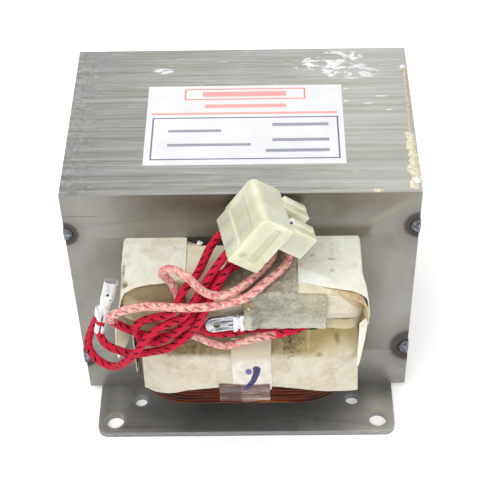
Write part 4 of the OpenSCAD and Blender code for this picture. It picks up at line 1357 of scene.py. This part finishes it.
def ring_profile(z0, z1, lip=0.12):
    return [(0.0, -lip, z0), (0.0, 0.0, z0 + lip), (0.0, 0.0, (z0 + z1) / 2), (0.0, 0.0, z1 - lip), (0.0, -lip, z1),
            (1.0, lip, z1), (1.0, 0.0, z1 - lip), (1.0, 0.0, (z0 + z1) / 2), (1.0, 0.0, z0 + lip), (1.0, lip, z0)]


for name, node, z0, z1 in (("card_lower", "primary_former", 19.85, 44.2), ("card_upper", "secondary_former", 56.65, 71.4)):
    ob = winding(name, (18.2, 37.6, 1.5), (17.6, 37.0, 1.0), ring_profile(z0, z1), M_CARD, 2.0, 0.03)
    ob.data.set_sharp_from_angle(angle=math.radians(40))
    piece(ob, (node,))


def shunt_material():
    m = Mat("shunt_stack", Metallic=0.55)
    lam = m.noise(1.0, 2.0, 0.5, vec=m.scaled(0.02, 0.02, 2.6))
    n = m.noise(0.2, 4.0, 0.6)
    base = m.ramp(m.add(m.mul(lam, 0.6), m.mul(n, 0.4)), (0.34, col(92, 90, 86)), (0.52, col(128, 126, 120)), (0.68, col(160, 158, 150)))
    base = m.mix(m.step(n, 0.5, 0.66, 0.0, 0.5), base, col(120, 100, 66))
    m.set(Base_Color=base, Roughness=m.step(n, 0.3, 0.7, 0.42, 0.55), Normal=m.bump(lam, 0.5, 0.12))
    return m.m


M_SHUNT = shunt_material()
for s, node in ((-1, "left_shunt"), (1, "right_shunt")):
    xs = sorted((s * 17.62, s * 34.38))
    ob = prism("shunt_" + ("l" if s < 0 else "r"), [(xs[0], 44.82), (xs[1], 44.82), (xs[1], 50.78), (xs[0], 50.78)], "Y", -33.98, 33.98, M_SHUNT)
    bevel(ob, 0.25, 2)
    piece(ob, (node,))


def turns_material():
    m = Mat("filament_turns", Roughness=0.6)
    n = m.noise(3.0, 3.0, 0.6)
    b = m.noise(0.35, 4.0, 0.6)
    red = m.ramp(n, (0.3, col(140, 14, 34)), (0.5, col(200, 34, 58)), (0.75, col(228, 84, 98)))
    pale = m.ramp(n, (0.3, col(214, 150, 140)), (0.6, col(236, 204, 190)))
    base = m.mix(m.step(b, 0.42, 0.6), red, pale)
    d = m.math("SINE", m.mul(m.add(m.add(m.x, m.y), m.mul(m.z, 1.4)), 2 * math.pi / 3.4))
    base = m.mix(m.mul(m.step(d, 0.8, 0.95), 0.7), base, col(30, 20, 44))
    m.set(Base_Color=base, Normal=m.bump(n, 0.5, 0.15))
    return m.m


prof = turns(51.05, 56.15, 2, 9, 0.95) + flats(56.15, 3, 1, 7, 0.06, 0.94, 2.3) + [(1, 0, 55.6), (1, 0, 51.6)] + flats(51.05, 3, -1, 7, 0.06, 0.94, 2.3)[::-1]
ob = winding("filament_turns", (25.2, 43.45, 3.0), (18.15, 36.05, 2.0), prof, turns_material(), 5.0, 0.08)
piece(ob, ("filament_winding",))

# ------------------------------------------------------- soaked board and tab


def blob(name, c, r, mat, seed, lump=0.3, n=3):
    import bmesh
    bm = bmesh.new()
    bmesh.ops.create_icosphere(bm, subdivisions=n, radius=1.0)
    for v in bm.verts:
        k = 1.0 + lump * wob(v.co.x, v.co.y, v.co.z, 1.1, seed)
        v.co = Vector(((c[0] + v.co.x * r[0] * k) * MM, (c[1] + v.co.y * r[1] * k) * MM, (c[2] + v.co.z * r[2] * k) * MM))
    me = bpy.data.meshes.new(name)
    bm.to_mesh(me)
    bm.free()
    me.polygons.foreach_set("use_smooth", [True] * len(me.polygons))
    me.materials.append(mat)
    ob = bpy.data.objects.new(name, me)
    scene.collection.objects.link(ob)
    return ob


def pad_material():
    m = Mat("soaked_board", Specular_IOR_Level=0.45)
    n1 = m.noise(0.22, 4.0, 0.62)
    n2 = m.noise(0.9, 5.0, 0.72)
    base = m.ramp(m.add(m.mul(n1, 0.6), m.mul(n2, 0.4)),
                  (0.32, col(118, 120, 104)), (0.43, col(148, 147, 128)), (0.53, col(174, 171, 150)), (0.66, col(202, 198, 180)))
    # yellow-brown at the upper right
    k = m.mul(m.step(m.add(m.x, m.mul(m.sub(n1, 0.5), 14)), 13, 21), m.step(m.z, 61, 68))
    base = m.mix(m.mul(k, 0.45), base, col(176, 166, 128))
    # paler lower strip
    k = m.mul(m.step(m.add(m.z, m.mul(m.sub(n1, 0.5), 5)), 62.0, 59.0), m.step(m.x, 2, 7))
    base = m.mix(m.mul(k, 0.55), base, col(206, 206, 190))
    # dark smudges
    for cx, cz, rx, rz, a in ((4.6, 63.0, 1.9, 3.4, 0.75), (9.5, 67.0, 3.5, 2.2, 0.45), (14.5, 60.2, 3.0, 1.2, 0.2), (8.0, 70.5, 6.0, 1.3, 0.45)):
        base = m.mix(m.mul(m.mul(m.disc(m.x, m.z, cx, cz, rx, rz, 0.6), m.step(m.noise(0.6, 4.0, 0.7), 0.34, 0.56)), a), base, col(92, 98, 96))
    k = m.mul(m.disc(m.add(m.x, m.mul(m.sub(n2, 0.5), 3)), m.z, 1.8, 62.0, 1.1, 4.6, 0.4), 0.7)
    base = m.mix(k, base, col(206, 202, 186))
    k = m.mul(m.disc(m.add(m.x, m.mul(m.sub(n2, 0.5), 2)), m.z, 1.6, 68.5, 1.4, 2.4, 0.4), 0.7)
    base = m.mix(k, base, col(150, 128, 72))
    # the top: olive beside the leads, darker along its left
    k = m.mul(m.step(m.z, 71.4, 72.0), m.step(m.x, 9.5, 4.0))
    base = m.mix(m.mul(k, 0.6), base, col(104, 102, 78))
    # streaks that follow the sheet at the left, open pores and bright grains at the right
    streak = m.noise(1.0, 3.0, 0.6, vec=m.scaled(0.30, 1, 2.6, loc=(2, 5, 1)))
    lefts = m.mul(m.step(m.x, 13, 8), m.step(m.z, 71.0, 69.0))
    base = m.mix(m.mul(m.mul(lefts, m.step(streak, 0.52, 0.64)), 0.45), base, col(112, 116, 104))
    base = m.mix(m.mul(m.mul(lefts, m.step(streak, 0.46, 0.36)), 0.35), base, col(196, 196, 184))
    where = m.mx(m.step(m.noise(0.25, 2.0), 0.50, 0.62, 0.0, 0.6), m.step(m.x, 10, 15))
    pore = m.mul(m.step(m.noise(2.6, 3.0, 0.65), 0.58, 0.66), m.step(where, 0.0, 1.0, 0.35, 1.0))
    base = m.mix(m.mul(pore, 0.55), base, col(96, 94, 76))
    grain = m.mul(m.step(m.noise(2.3, 3.0, 0.65, vec=m.scaled(1, 1, 1, loc=(4, 2, 7))), 0.55, 0.66), where)
    base = m.mix(m.mul(grain, 0.80), base, col(238, 236, 224))
    pits = m.mul(m.step(m.voronoi(0.8), 0.13, 0.07), where)
    base = m.mix(m.mul(pits, 0.7), base, col(58, 58, 50))
    m.set(Base_Color=base, Roughness=m.step(n2, 0.35, 0.65, 0.34, 0.62))
    h = m.add(m.mul(n2, 1.2), m.add(m.mul(grain, 0.35), m.mul(pore, -0.45)))
    m.set(Normal=m.bump(h, 0.75, 0.30))
    return m.m


M_PAD = pad_material()
from_cad("soaked_board", "hv_pad", M_PAD, voxel=0.24, smooth=4, lump=0.34, seed=6.2)


def glue_material(name, a, b, alpha=0.0):
    m = Mat(name, Roughness=0.18, Coat_Weight=0.5)
    n = m.noise(0.9, 4.0, 0.6)
    m.set(Base_Color=m.ramp(n, (0.35, col(*a)), (0.65, col(*b))), Normal=m.bump(n, 0.4, 0.2))
    m.b.inputs["Subsurface Weight"].default_value = 0.3
    m.b.inputs["Subsurface Radius"].default_value = (0.001, 0.0007, 0.0004)
    m.b.inputs["Subsurface Scale"].default_value = 1.0
    return m.m


M_GLUE = glue_material("glue_brown", (122, 100, 48), (178, 154, 96))
M_GLUE_PALE = glue_material("glue_pale", (196, 190, 168), (232, 228, 214))
for i, (c, r, mm) in enumerate((((2.6, -57.5, 68.6), (0.7, 0.5, 1.5), M_GLUE), ((2.0, -57.6, 66.2), (0.6, 0.4, 1.0), M_GLUE_PALE),
                                ((3.0, -58.0, 60.2), (0.7, 0.5, 1.2), M_GLUE_PALE), ((3.4, -58.2, 64.8), (0.6, 0.6, 0.6), M_GLUE_PALE))):
    piece(blob("glue_%d" % i, c, r, mm, i * 1.7))


def tin_material(name="tinned", rough=0.22, tone=0):
    m = Mat(name, Metallic=0.95)
    n = m.noise(0.7, 3.0, 0.6)
    n2 = m.noise(3.0, 3.0, 0.6)
    m.set(Base_Color=m.ramp(n, (0.3, col(186 + tone, 188 + tone, 192 + tone)), (0.6, col(222 + tone, 223 + tone, 226 + tone))))
    m.set(Roughness=m.step(n2, 0.3, 0.7, rough - 0.06, rough + 0.12))
    m.set(Normal=m.bump(m.add(n, m.mul(n2, 0.3)), 0.12, 0.1))
    return m.m


M_TIN = tin_material()
# a lighter copy of the tin, painted light, for the blade's edge highlights and the crimp ears
M_TIN_LIT = tin_material("tinned_lit", 0.26, 12)


def blade_material():
    m = Mat("tab_metal", Metallic=1.0)
    n = m.noise(0.34, 2.0, 0.5, vec=m.scaled(0.6, 0.6, 1.5))
    n2 = m.noise(0.9, 3.0, 0.55)
    # dark and light bands stretched along the blade: painted reflections
    base = m.ramp(m.add(m.mul(n, 0.75), m.mul(n2, 0.25)), (0.36, col(96, 98, 106)), (0.46, col(140, 142, 148)), (0.56, col(178, 180, 184)), (0.68, col(214, 216, 220)))
    m.set(Base_Color=base, Roughness=m.step(n2, 0.3, 0.7, 0.22, 0.34), Normal=m.bump(m.add(n, m.mul(n2, 0.3)), 0.05, 0.1))
    return m.m


M_BLADE = blade_material()


def dark_shade_material():
    # painted shade: a dark blue-grey for the tab's ribs and for the receptacle's eye and slit
    m = Mat("dark_shade_metal", Metallic=0.9)
    n = m.noise(1.4, 3.0, 0.6)
    m.set(Base_Color=m.ramp(n, (0.35, col(34, 38, 62)), (0.65, col(88, 92, 112))), Roughness=m.step(n, 0.3, 0.7, 0.16, 0.3), Normal=m.bump(n, 0.2, 0.1))
    return m.m


M_DARK_SHADE = dark_shade_material()


def hv_tab():
    # outline in (distance from the root, height), corners taken off at the free end
    pts = [(0.0, -3.0), (9.3, -3.05), (10.5, -2.6), (11.1, -1.7), (11.35, -0.6), (11.35, 0.8), (11.0, 1.9), (10.2, 2.7), (9.2, 3.05), (0.0, 3.1)]
    body = prism("hv_blade", [(-x, z) for x, z in pts][::-1], "Y", -0.4, 0.4, M_BLADE)
    cut(body, cylinder((-8.1, -3, -0.3), (-8.1, 3, -0.3), 0.95, 28))
    bevel(body, 0.14, 2)
    parts = [body]
    # ribs drawn dark as painted shade
    for z, x0 in ((0.95, -5.4), (-0.75, -3.6)):
        parts.append(cylinder((x0 - 1.2, -0.30, z), (-2.4, -0.30, z), 0.26, 12, "rib", M_DARK_SHADE))
    # painted highlights: bright lines along the blade's top and bottom edges
    for z in (2.72, -2.72):
        parts.append(cylinder((-9.6, -0.34, z), (-2.6, -0.34, z), 0.22, 12, "rim", M_TIN_LIT))
    root = prism("root", [(-3.2, -2.6), (3.4, -2.3), (3.4, 2.3), (-3.2, 2.6)], "Y", -0.85, 0.38, M_TIN)
    bevel(root, 0.3, 3)
    parts.append(root)
    for x0, x1, h in ((-3.4, -2.0, 3.3), (-1.4, -0.1, 3.5)):
        ear = prism("ear", [(x0, -h), (x1, -h + 0.3), (x1, h - 0.3), (x0, h)], "Y", -1.15, -0.55, M_TIN_LIT)
        bevel(ear, 0.25, 3)
        parts.append(ear)
    m = Matrix.Translation(Vector((0.8, -58.6, 62.6)) * MM) @ Matrix.Rotation(math.radians(8), 4, "Z")
    for p in parts:
        set_into_place(p, m)
        if not p.data.materials:
            p.data.materials.append(M_BLADE)
    bpy.ops.object.select_all(action="DESELECT")
    for p in parts:
        p.select_set(True)
    bpy.context.view_layer.objects.active = body
    bpy.ops.object.join()
    body.name = "hv_push_tab"
    smooth_by_angle(body, 40)
    piece(body, ("hv_tab",))


hv_tab()


def board_end(u, v):
    # the soaked board laps over the tab's root
    z = lerp(58.8, 66.6, v)
    x = lerp(0.55 + 0.18 * math.sin(v * 9.0), 6.0, u)
    k = sstep(6.0, 3.4, x) * sstep(58.8, 59.9, z) * sstep(66.6, 65.5, z)
    return x, -57.72 - 1.95 * k - 0.08 * math.sin(x * 2.1 + z * 1.3) * k, z


piece(sheet("board_end", grid(40, 50, board_end), 0.35, M_PAD))

# ------------------------------------------------------------------- tapes


def marker(m, base):
    """A hand-drawn stroke and a small dab of marker pen."""
    ax, az, bx, bz = 4.1, 38.3, 0.4, 28.6
    dx, dz = bx - ax, bz - az
    n = m.noise(0.8, 3.0)
    px = m.add(m.x, m.mul(m.sub(n, 0.5), 0.5))
    t = m.math("DIVIDE", m.add(m.mul(m.sub(px, ax), dx), m.mul(m.sub(m.z, az), dz)), dx * dx + dz * dz, clamp=True)
    ex = m.sub(m.sub(px, ax), m.mul(t, dx))
    ez = m.sub(m.sub(m.z, az), m.mul(t, dz))
    bow = m.mul(m.math("SINE", m.mul(t, math.pi)), 0.85)
    d = m.math("SQRT", m.add(m.mul(m.sub(ex, bow), m.sub(ex, bow)), m.mul(ez, ez)))
    w = m.sub(1.12, m.mul(t, 0.3))
    k = m.step(m.sub(d, w), 0.12, -0.12)
    k = m.mx(k, m.mul(m.disc(m.x, m.z, 3.9, 38.4, 1.15, 1.25, 0.15), 1.0))
    base = m.mix(m.mul(k, 0.97), base, m.ramp(m.noise(1.2, 3.0), (0.35, col(16, 3, 74)), (0.65, col(34, 10, 106))))
    dab = m.disc(m.x, m.z, 1.5, 37.0, 1.0, 1.45, 0.3)
    dab = m.mul(dab, m.step(m.noise(1.6, 4.0, 0.7), 0.30, 0.46))
    return m.mix(m.mul(dab, 0.9), base, col(66, 34, 136))


def tape_white():
    m = Mat("white_tape", Roughness=0.38, Specular_IOR_Level=0.4)
    n = m.noise(0.4, 3.0, 0.6)
    base = m.ramp(n, (0.3, col(204, 199, 186)), (0.7, col(228, 224, 214)))
    base = m.mix(m.mul(m.step(m.z, 40.5, 45.5), 0.75), base, col(188, 174, 144))
    base = marker(m, base)
    m.set(Base_Color=base, Normal=m.bump(m.add(n, m.mul(m.noise(2.5, 2.0), 0.3)), 0.15, 0.12))
    return m.m


def tape_clear():
    m = Mat("clear_tape", Roughness=0.22, Specular_IOR_Level=0.35, Coat_Weight=0.2, Coat_Roughness=0.08)
    n = m.noise(1.0, 3.0, 0.6, vec=m.scaled(0.14, 0.5, 1.1))
    left = m.ramp(n, (0.3, col(50, 26, 22)), (0.55, col(84, 50, 44)), (0.75, col(150, 118, 114)))
    rightc = m.ramp(n, (0.3, col(78, 50, 46)), (0.5, col(116, 86, 82)), (0.75, col(190, 176, 168)))
    edge = m.add(m.x, m.mul(m.sub(m.noise(0.3, 3.0), 0.5), 2.0))
    base = m.mix(m.step(edge, -1.2, -0.4), left, rightc)
    streak = m.mul(m.window(m.sub(m.z, m.mul(m.x, 0.05)), 26.9, 28.1, 0.6), 0.35)
    base = m.mix(streak, base, col(128, 112, 116))
    base = marker(m, base)
    m.set(Base_Color=base, Normal=m.bump(n, 0.35, 0.25))
    return m.m


def tape_point(x, z, lift):
    """Lies on the paper, and below its edge on the coil."""
    p = primary_front_point(x, max(z, LOW_Z(x)), lift)
    y = p[1]
    low = LOW_Z(x)
    if z < low:
        y = lerp(y, -56.15 - lift * 0.3, sstep(0.0, 3.0, low - z))
    return x, y - 0.2, z


W_TOP = table((-3.5, 50.2), (8.4, 50.0))
ob = sheet("tape_white", grid(40, 50, lambda u, v: tape_point(lerp(-3.5, 8.4, u) + 0.1 * math.sin(v * 7), lerp(28.2, 50.2, v), 0.10)), 0.12, tape_white())
piece(ob, ("white_tape",))
ob = sheet("tape_clear", grid(44, 40, lambda u, v: tape_point(lerp(-7.7, 7.9, u) + 0.06 * math.sin(v * 11), lerp(22.2 + 0.3 * math.sin(u * 9), 31.0 + 0.25 * math.sin(u * 6 + 1), v), 0.26)), 0.10, tape_clear())
piece(ob, ("clear_tape",))

# ------------------------------------------------------------------- label


def label_material():
    m = Mat("label_film", Roughness=0.28, Specular_IOR_Level=0.45)
    n = m.noise(0.12, 3.0, 0.55)
    base = m.ramp(n, (0.3, col(214, 216, 218)), (0.7, col(226, 227, 229)))

    def frame(x0, x1, y0, y1, w):
        outer = m.mul(m.window(m.x, x0, x1, 0.1), m.window(m.y, y0, y1, 0.1))
        inner = m.mul(m.window(m.x, x0 + w, x1 - w, 0.1), m.window(m.y, y0 + w, y1 - w, 0.1))
        return m.mul(outer, m.inv(inner))

    def bar(x0, x1, y, h):
        return m.mul(m.window(m.x, x0, x1, 0.12), m.window(m.y, y - h / 2, y + h / 2, 0.12))

    red = frame(-17.6, 19.9, 8.5, 13.9, 0.5)
    for x0, x1, y, h in ((-12.0, 14.0, 11.2, 2.4), (-11.2, 13.8, 5.4, 1.7), (-27.4, 29.4, 1.9, 1.0)):
        red = m.mx(red, m.mul(bar(x0, x1, y, h), 0.75))
    base = m.mix(m.mul(red, 0.85), base, col(226, 92, 84))
    navy = frame(-27.0, 29.6, -19.2, 0.1, 0.48)
    for x0, x1, y, h in ((9.5, 26.5, -3.6, 1.4), (-22.0, -6.0, -6.2, 1.2), (9.5, 26.5, -10.6, 1.4), (-22.0, 3.0, -12.6, 1.2), (7.5, 26.5, -15.4, 1.4)):
        navy = m.mx(navy, m.mul(bar(x0, x1, y, h), 0.72))
    base = m.mix(m.mul(navy, 0.9), base, col(48, 54, 104))
    scuff = m.step(m.noise(0.5, 5.0, 0.75), 0.66, 0.74)
    base = m.mix(m.mul(scuff, 0.25), base, col(200, 202, 204))
    m.set(Base_Color=base, Normal=m.bump(m.add(m.noise(0.3, 2.0), m.mul(m.noise(2.0, 2.0), 0.1)), 0.12, 0.12))
    return m.m


ob = sheet("label_film", grid(60, 40, lambda u, v: (lerp(-28.9, 31.2, u), lerp(-21.5, 15.3, v), 89.88 + 0.02 * math.sin(u * 7) * math.sin(v * 5))), 0.11, label_material())
piece(ob, ("label",))

# ------------------------------------------------ adhesive on the right edge


def ribbon(name, line, widths, heights, mat, seed):
    """Bead of adhesive along a line on the top face, with an uneven width."""
    L = np.array(line, float)
    n, na = 90, 12
    t = np.linspace(0, 1, n)
    px = np.interp(t, np.linspace(0, 1, len(L)), L[:, 0])
    py = np.interp(t, np.linspace(0, 1, len(L)), L[:, 1])
    w = np.interp(t, np.linspace(0, 1, len(widths)), widths)
    h = np.interp(t, np.linspace(0, 1, len(heights)), heights)
    v, f = [], []
    for i in range(n):
        ww = w[i] * (1 + 0.45 * wob(px[i], py[i], 0, 0.9, seed))
        hh = h[i] * (1 + 0.4 * wob(px[i], py[i], 0, 0.7, seed + 4))
        cx = px[i] + 0.25 * w[i] * wob(px[i], py[i], 0, 0.5, seed + 8)
        for a in range(na):
            th = 2 * math.pi * a / na
            v.append((min(cx + ww / 2 * math.cos(th), 52.85), py[i], 89.78 + max(hh * math.sin(th), -0.1)))
    for i in range(n - 1):
        for a in range(na):
            b = (a + 1) % na
            f.append((i * na + a, i * na + b, (i + 1) * na + b, (i + 1) * na + a))
    f.append(tuple(range(na - 1, -1, -1)))
    f.append(tuple(range((n - 1) * na, n * na)))
    return piece(add(name, v, f, mat))


M_ADHESIVE_TAN = glue_material("adhesive_tan", (164, 148, 120), (196, 184, 158))
M_ADHESIVE = glue_material("adhesive_cream", (196, 184, 150), (226, 218, 196))
M_WHITE_BLOB = glue_material("adhesive_white", (222, 224, 224), (246, 246, 246))
ribbon("adhesive_line", [(51.5, 24.2), (51.35, 8), (51.1, -8)], [1.5, 1.1, 1.3], [0.16, 0.14, 0.18], M_ADHESIVE_TAN, 1.0)
ribbon("adhesive_bead", [(50.8, -8), (50.7, -16), (50.9, -24), (50.4, -32.6)], [2.6, 2.8, 3.6, 3.0], [0.30, 0.34, 0.45, 0.35], M_ADHESIVE, 6.0)
ribbon("adhesive_bead_b", [(50.4, -19), (51.5, -25), (51.0, -32.8)], [1.0, 2.2, 2.0], [0.3, 0.5, 0.4], M_ADHESIVE, 16.0)
piece(blob("adhesive_dab_a", (51.0, 23.8, 89.9), (0.9, 0.9, 0.4), M_WHITE_BLOB, 3.0))
piece(blob("adhesive_dab_b", (51.2, -29.6, 90.2), (0.9, 1.3, 0.55), M_WHITE_BLOB, 5.0))
piece(blob("cream_spot", (39.8, -33.2, 89.85), (1.5, 0.7, 0.25), M_ADHESIVE, 7.0))
piece(blob("white_bit", (-12.4, -36.4, 72.3), (0.9, 0.8, 0.5), M_WHITE_BLOB, 9.0, 0.9))

# --------------------------------------------------- connector and receptacle


def nylon_material():
    m = Mat("natural_nylon", Roughness=0.26, Specular_IOR_Level=0.55, Coat_Weight=0.35, Coat_Roughness=0.14)
    n = m.noise(0.12, 3.0, 0.5)
    n2 = m.noise(1.8, 3.0, 0.6)
    base = m.ramp(m.add(m.mul(n, 0.7), m.mul(n2, 0.3)), (0.34, col(199, 200, 167)), (0.5, col(210, 211, 184)), (0.68, col(221, 222, 201)))
    up = m.add(m.mul(m.y, 0.716), m.mul(m.z, 0.698))
    base = m.mix(m.mul(m.disc(m.x, up, 14.5, 29.6, 0.5, 0.4, 0.25), 0.95), base, col(24, 16, 96))
    m.set(Base_Color=base, Normal=m.bump(m.add(m.mul(n2, 0.15), n), 0.05, 0.15))
    m.b.inputs["Subsurface Weight"].default_value = 0.85
    m.b.inputs["Subsurface Radius"].default_value = (0.0042, 0.0042, 0.0032)
    m.b.inputs["Subsurface Scale"].default_value = 1.0
    return m.m


from_cad("flag_housing", "connector_housing", nylon_material(), voxel=0.24, smooth=2)
from_cad("flag_terminals", "connector_terminals", M_TIN, voxel=0.16, smooth=2)


def receptacle_material():
    m = Mat("tinned_white", Metallic=0.55, Roughness=0.40, Coat_Weight=0.3, Coat_Roughness=0.15)
    n = m.noise(0.5, 3.0, 0.5)
    n2 = m.noise(2.2, 3.0, 0.6)
    m.set(Base_Color=m.ramp(m.add(m.mul(n, 0.7), m.mul(n2, 0.3)), (0.34, col(196, 197, 200)), (0.5, col(224, 225, 227)), (0.66, col(242, 243, 244))))
    m.set(Normal=m.bump(m.add(n, m.mul(n2, 0.3)), 0.08, 0.1))
    return m.m


M_RECEPTACLE = receptacle_material()


def receptacle():
    """Push-on receptacle formed from one strip: rolled socket, wire barrel, two bands crimped over the sleeves."""
    parts = []

    def strip(name, path, z0, z1, thick=0.3, taper=None, nz=10):
        q = np.array(path, float)
        t = np.r_[0, np.cumsum(np.linalg.norm(np.diff(q, axis=0), axis=1))]
        k = np.linspace(0, t[-1], max(12, int(t[-1] / 0.16)))
        q = np.stack([np.interp(k, t, q[:, 0]), np.interp(k, t, q[:, 1])], 1)
        for _ in range(3):
            q[1:-1] = (q[:-2] + 2 * q[1:-1] + q[2:]) / 4
        P = []
        for i, (x, y) in enumerate(q):
            row = []
            for z in np.linspace(z0, z1, nz):
                f = taper(z) if taper else 1.0
                f, g = f if isinstance(f, tuple) else (f, f)
                row.append((x * f, y * g, z + 0.05 * math.sin(i * 0.35) * (1 if z == z1 else 0)))
            P.append(row)
        parts.append(sheet(name, np.array(P), thick, M_RECEPTACLE))

    half = [(0.02, -1.16), (0.75, -1.2), (1.45, -1.16), (1.92, -0.6), (2.02, 0.2), (1.85, 0.9), (1.1, 1.14), (0, 1.16)]
    socket = half + [(-x, y) for x, y in half[-2::-1]]
    strip("socket", [(x * 0.93 + 0.2, y) for x, y in socket], 12.2, 18.6, 0.26, lambda z: 1.0 + 0.04 * sstep(17.4, 18.6, z))
    strip("tongue", [(-0.85, 0.5), (0.2, 0.45), (1.25, 0.5)], 12.4, 17.4, 0.26)
    # painted shade: the dark eye and slit of the socket
    parts.append(cylinder((0.0, -1.40, 14.4), (0.0, -1.0, 14.4), 0.42, 24, "eye", M_DARK_SHADE))
    parts.append(cylinder((0.75, -1.34, 12.75), (1.45, -1.25, 12.95), 0.16, 12, "slit", M_DARK_SHADE))
    ring = [(1.4 * math.cos(math.radians(a)), 1.35 * math.sin(math.radians(a))) for a in range(-96, 265, 12)]
    strip("barrel", ring, 7.0, 12.7, 0.32, lambda z: (1.0 + 0.24 * sstep(9.5, 12.4, z), 1.0 - 0.12 * sstep(9.5, 12.4, z)), 14)
    wing = [(-0.25, -1.05), (-0.42, -1.42)] + [(1.45 * math.cos(math.radians(a)), 1.45 * math.sin(math.radians(a))) for a in range(245, -45, -12)] \
        + [(0.75, -1.42), (0.3, -1.1)]
    strip("band_low", wing, 0.05, 2.9, 0.34, lambda z: 1.0 + 0.035 * math.sin(z / 2.9 * math.pi))
    c, s_ = -0.9, 2.3
    wing = [(-0.3, -1.1), (-0.5, -1.42), (-1.15, -1.0), (-1.5, 0.1), (-2.2, 1.6), (c - 1.4, s_ + 0.2), (c - 0.9, s_ + 1.2), (c, s_ + 1.46), (c + 0.9, s_ + 1.1),
            (c + 1.5, s_ + 0.1), (1.2, 0.95), (1.47, 0.1), (1.2, -0.85), (0.7, -1.35), (0.25, -1.15)]
    strip("band_high", wing, 4.45, 7.35, 0.34, lambda z: 1.0 + 0.03 * math.sin((z - 4.45) / 2.9 * math.pi))
    spine = [(1.46 * math.cos(math.radians(a)), 1.46 * math.sin(math.radians(a))) for a in range(-34, 40, 8)]
    strip("spine", spine, 0.1, 11.0, 0.3)
    M = Matrix.Translation(Vector((-43.2, -51, 49.8)) * MM) @ Matrix.Rotation(math.radians(15), 4, "Y") @ Matrix.Rotation(math.radians(-13), 4, "X")
    for q in parts:
        set_into_place(q, M)
    bpy.ops.object.select_all(action="DESELECT")
    for q in parts:
        q.select_set(True)
    bpy.context.view_layer.objects.active = parts[0]
    bpy.ops.object.join()
    ob = parts[0]
    ob.name = "straight_receptacle"
    smooth_by_angle(ob, 40)
    return piece(ob, ("receptacle",))


receptacle()
piece(blob("jumper_end", (-42.75, -47.0, 56.25), (1.2, 1.2, 0.6), M_RECEPTACLE, 4.5, 0.1))

# -------------------------------------------------------------- back terminals


def fibre_material():
    m = Mat("fibre_board", Roughness=0.5, Coat_Weight=0.15)
    n = m.noise(1.0, 4.0, 0.65, vec=m.scaled(1.6, 1.0, 0.5))
    m.set(Base_Color=m.ramp(n, (0.3, col(58, 36, 24)), (0.5, col(84, 54, 34)), (0.7, col(108, 74, 48))), Normal=m.bump(n, 0.3, 0.12))
    return m.m


from_cad("terminal_board", "primary_terminal_board", fibre_material(), voxel=0.24, smooth=2)
from_cad("primary_blade_left", "primary_tab_left", M_TIN, voxel=0.14, smooth=2)
from_cad("primary_blade_right", "primary_tab_right", M_TIN, voxel=0.14, smooth=2)
from_cad("earth_tag", "ground_tag", M_TIN, voxel=0.14, smooth=2)
